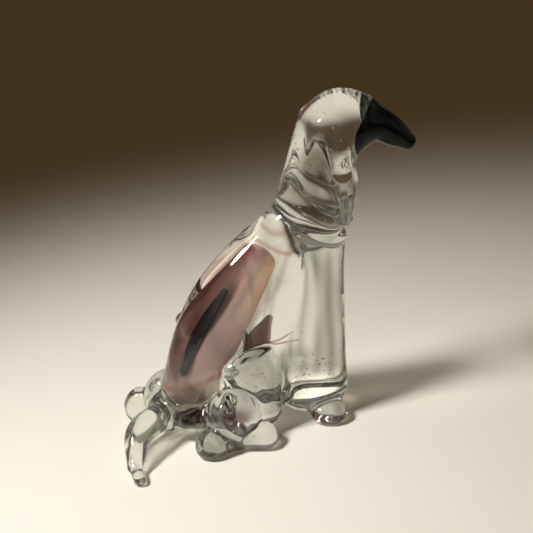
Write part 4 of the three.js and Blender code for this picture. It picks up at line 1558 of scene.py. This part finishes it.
@dataclass
class Hound:
    """The whole hound: melts its gathers, parts them again and dresses each piece.

    Attributes:
        ripples: pairs of waves, each by its pace along X, Y and Z, whose products make the glass uneven.
        waver: how far the ripples lift the skin.
        waver_heights: the heights between which the ripples rise, from above.
        waver_front: the places along X between which they rise, from the front.
        waver_rear: the same from the tail.
    """

    torso: Torso = field(default_factory=Torso)
    head: Head = field(default_factory=Head)
    tail: Tail = field(default_factory=Tail)
    muzzle: Muzzle = field(default_factory=Muzzle)
    amethyst: Amethyst = field(default_factory=Amethyst)
    seeds: Seeds = field(default_factory=Seeds)
    # Painted shade on the clear glass.
    grey_and_painted_light: PaintedShade = field(default_factory=PaintedShade)
    right_leg: HindLeg = field(default_factory=lambda: HindLeg(Side.RIGHT, 14.4, 12.4, 17.4, 7.8, 5.2))
    left_leg: HindLeg = field(default_factory=lambda: HindLeg(Side.LEFT, 20.6, 17.6, 25.4, 4.9, 7.2))
    cell: float = 0.25
    margin: float = 1.5
    floor_edge: float = 0.3
    mask_reach: float = 1.2
    mask_overlap: float = 0.02
    ripples: tuple[tuple[Triple, Triple], ...] = (
        ((1.5, 0.9, 0.0), (0.5, 0.0, 1.3)),
        ((0.0, 1.9, -1.1), (1.2, 0.0, 0.8)),
    )
    waver: float = 0.14
    waver_heights: Pair = (18.0, 12.0)
    waver_front: Pair = (-5.0, -10.0)
    waver_rear: Pair = (-29.0, -26.0)
    rim_length: float = 0.5
    rim_heights: Pair = (48.5, 50.5)
    origin: Array = field(init=False)

    def __post_init__(self) -> None:
        """Finds where the hound's own frame stands in the part's frame: the seat lies in both."""
        low, high = (np.array(corner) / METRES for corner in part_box("seat_gather"))
        self.origin = (low + high) / 2 - self.torso.seat_middle

    def mask(self) -> Gather:
        """The black mask as a gather."""
        return self.muzzle.gather(self.head, self.torso.places)

    def gathers(self) -> list[Gather]:
        """Every gather that shows on the outside, in the order in which they are laid on."""
        parts = (self.right_leg, self.left_leg, self.tail, self.head)
        laid_on = [gather for part in parts for gather in part.gathers(self.torso)]
        return [*self.torso.gathers(), *laid_on, self.mask()]

    def melt(self, grid: Grid) -> Melt:
        """All the gathers melted on a grid, uneven about the hind legs, and levelled on the floor."""
        melt = Melt(grid)
        for gather in self.gathers():
            melt.add(gather)
        x, y, z = grid.axes(tuple(slice(0, count) for count in grid.shape))
        waves = [[np.sin(a * x + b * y + c * z) for a, b, c in pair] for pair in self.ripples]
        uneven = sum(one * other for one, other in waves)
        hind = smooth_step(*self.waver_front, x) * smooth_step(*self.waver_rear, x)
        hind = hind * smooth_step(*self.waver_heights, z)
        melt.field = melt.field + np.float32(self.waver / 2) * uneven * hind
        melt.field = -melt_together(-melt.field, np.broadcast_to(z, grid.shape), self.floor_edge)
        return melt

    def near_mask(self, grid: Grid) -> tuple[Window, Array, Array]:
        """The cells round the mask.

        Returns:
            Their window, how far each lies ahead of the seam, and how far from the mask.
        """
        shape = self.mask().shape
        low, high = shape.reach()
        window = grid.window(low - self.mask_reach, high + self.mask_reach)
        axes = grid.axes(window)
        return window, self.muzzle.ahead_of_seam(self.head, *axes), shape.distance(*axes)

    def finish(self, skin: Skin, node: str, slot: Slot, finishes: list[Material]) -> bpy.types.Object:
        """Places a piece, ties it to the frame and reports it."""
        skin.points = skin.points + self.origin
        piece = skin.place(f"{node}_glass", finishes)
        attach(piece, "root")
        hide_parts(node)
        LOG.info("%s stands for %s with %d faces", piece.name, node, len(piece.data.polygons))
        return piece

    @staticmethod
    def colour(piece: bpy.types.Object, tint: Array) -> None:
        """Gives the points of a piece the colours that its finish reads."""
        rows = np.ones((len(tint), 4), np.float32)
        rows[:, :tint.shape[1]] = tint
        layer = piece.data.attributes.new("tint", "FLOAT_COLOR", "POINT")
        layer.data.foreach_set("color", rows.ravel())

    def clear_pieces(self, glass: Material, joint: Material) -> None:
        """The clear gathers, each a closed piece of one unbroken skin."""
        low, high = np.array(cad_low) / METRES - self.origin, np.array(cad_high) / METRES - self.origin
        melt = self.melt(Grid.over(low - self.margin, high + self.margin, self.cell))
        window, ahead, gap = self.near_mask(melt.grid)
        body = melt.field[window]
        under = body + self.muzzle.inset * smooth_step(0.0, self.muzzle.stub / 2, ahead)
        under = np.maximum(under, ahead - self.muzzle.stub)
        melt.field[window] = np.where(gap < self.mask_reach, under, body)
        melt.owner[melt.owner == melt.names.index("black_muzzle")] = melt.names.index("skull")
        points, faces, normals = melt.skin()

        def owners(spots: Array) -> Array:
            cells = np.round((spots - melt.grid.low) / melt.grid.cell).astype(int)
            return melt.owner[tuple(np.clip(cells, 0, np.array(melt.grid.shape) - 1).T)]

        face_owner = owners(points[faces].mean(axis=1))
        ropes = (self.amethyst.core_rope, self.amethyst.stringer_rope, self.amethyst.web_rope)
        keep_out = [*(rope(self.torso) for rope in ropes), self.mask().shape]
        middles, radii = self.seeds.scatter(melt, keep_out)
        seed_owner = owners(middles)
        for index, name in enumerate(melt.names):
            patch = faces[face_owner == index]
            if len(patch):
                mine = seed_owner == index
                skin = self.seeds.open_in(close_patch(points, patch, normals), middles[mine], radii[mine])
                # Painted shade on the clear piece, with the share of lamp light that passes.
                tint = self.grey_and_painted_light.tint(skin.points)
                self.colour(self.finish(skin, name, Slot.CLEAR, [glass, joint]), tint)
            elif name != "black_muzzle":
                LOG.warning("%s has no skin of its own", name)

    def mask_piece(self, glass: Material) -> None:
        """The black mask, flush with the skull at its seam."""
        low, high = self.mask().shape.reach()
        melt = self.melt(Grid.over(low - self.margin, high + self.margin, self.muzzle.cell))
        window, ahead, gap = self.near_mask(melt.grid)
        body = np.full(melt.grid.shape, FAR, np.float32)
        body[window] = np.where(gap < self.mask_reach, np.maximum(melt.field[window], -ahead), FAR)
        melt.field = body - self.mask_overlap
        points, faces, normals = melt.skin()
        piece = self.finish(Skin(points, faces, normals[faces]), "black_muzzle", Slot.BLACK, [glass])
        rim = 1.0 - smooth_step(0.0, self.rim_length, self.muzzle.ahead_of_seam(self.head, *points.T))
        rim = rim * (1.0 - smooth_step(*self.rim_heights, points[:, 2]))
        attribute = piece.data.attributes.new("rim", "FLOAT", "POINT")
        attribute.data.foreach_set("value", rim.astype(np.float32))

    def amethyst_pieces(self, lilac: Material, purple: Material, maroon: Material) -> None:
        """The core and the stringer inside the back, and the web with its threads."""
        amethyst, torso = self.amethyst, self.torso
        web = [amethyst.web_rope(torso), *amethyst.thread_ropes(torso)]
        for name, shapes, slot, glass, cell in (
            ("amethyst_core", [amethyst.core_rope(torso)], Slot.LILAC, lilac, amethyst.cell),
            ("amethyst_stringer", [amethyst.stringer_rope(torso)], Slot.PURPLE, purple, amethyst.cell),
            ("amethyst_web", web, Slot.PURPLE, maroon, amethyst.web_cell),
        ):
            corners = np.array([shape.reach() for shape in shapes])
            low, high = corners[:, 0].min(0) - self.margin, corners[:, 1].max(0) + self.margin
            melt = Melt(Grid.over(low, high, cell))
            for shape in shapes:
                melt.add(Gather(name, shape, amethyst.soft))
            points, faces, normals = melt.skin()
            piece = self.finish(Skin(points, faces, normals[faces]), name, slot, [glass])
            tint = amethyst.core_tint(torso, points) if slot is Slot.LILAC else amethyst.web_tint(points)
            self.colour(piece, tint)


def main() -> None:
    """Builds the hound and its stage."""
    logging.basicConfig(level=logging.INFO, format="%(name)s: %(message)s")
    hound = Hound()
    polish = fire_polish_group()
    rump, shoulder = hound.torso.back_ends
    lean = math.atan2(shoulder[0] - rump[0], shoulder[2] - rump[2])
    clear = ClearGlass("clear_glass", polish).material()
    joint = FusedJoint("fused_joint", polish).material()
    black = BlackGlass("black_glass", polish).material()
    lilac = AmethystGlass("lilac_glass", polish, slope=-lean, stops=(
        (0.3, (0.55, 0.5, 0.52)), (0.45, (0.95, 0.93, 0.95)),
        (0.6, (1.0, 1.0, 1.0)), (0.75, (1.0, 0.85, 0.8)),
    )).material()
    purple = AmethystGlass("purple_glass", polish, slope=-lean, transmission=0.3, tinted=False, stops=(
        (0.3, (0.012, 0.01, 0.014)), (0.5, (0.03, 0.024, 0.03)), (0.7, (0.09, 0.07, 0.085)),
    )).material()
    maroon = AmethystGlass("maroon_glass", polish, slope=-lean, stops=(
        (0.3, (0.6, 0.5, 0.5)), (0.5, (1.0, 1.0, 1.0)), (0.7, (1.0, 0.9, 0.85)),
    )).material()
    hound.clear_pieces(clear, joint)
    hound.mask_piece(black)
    hound.amethyst_pieces(lilac, purple, maroon)
    Stage().build(hound.origin)


if __name__ == "__main__":
    main()
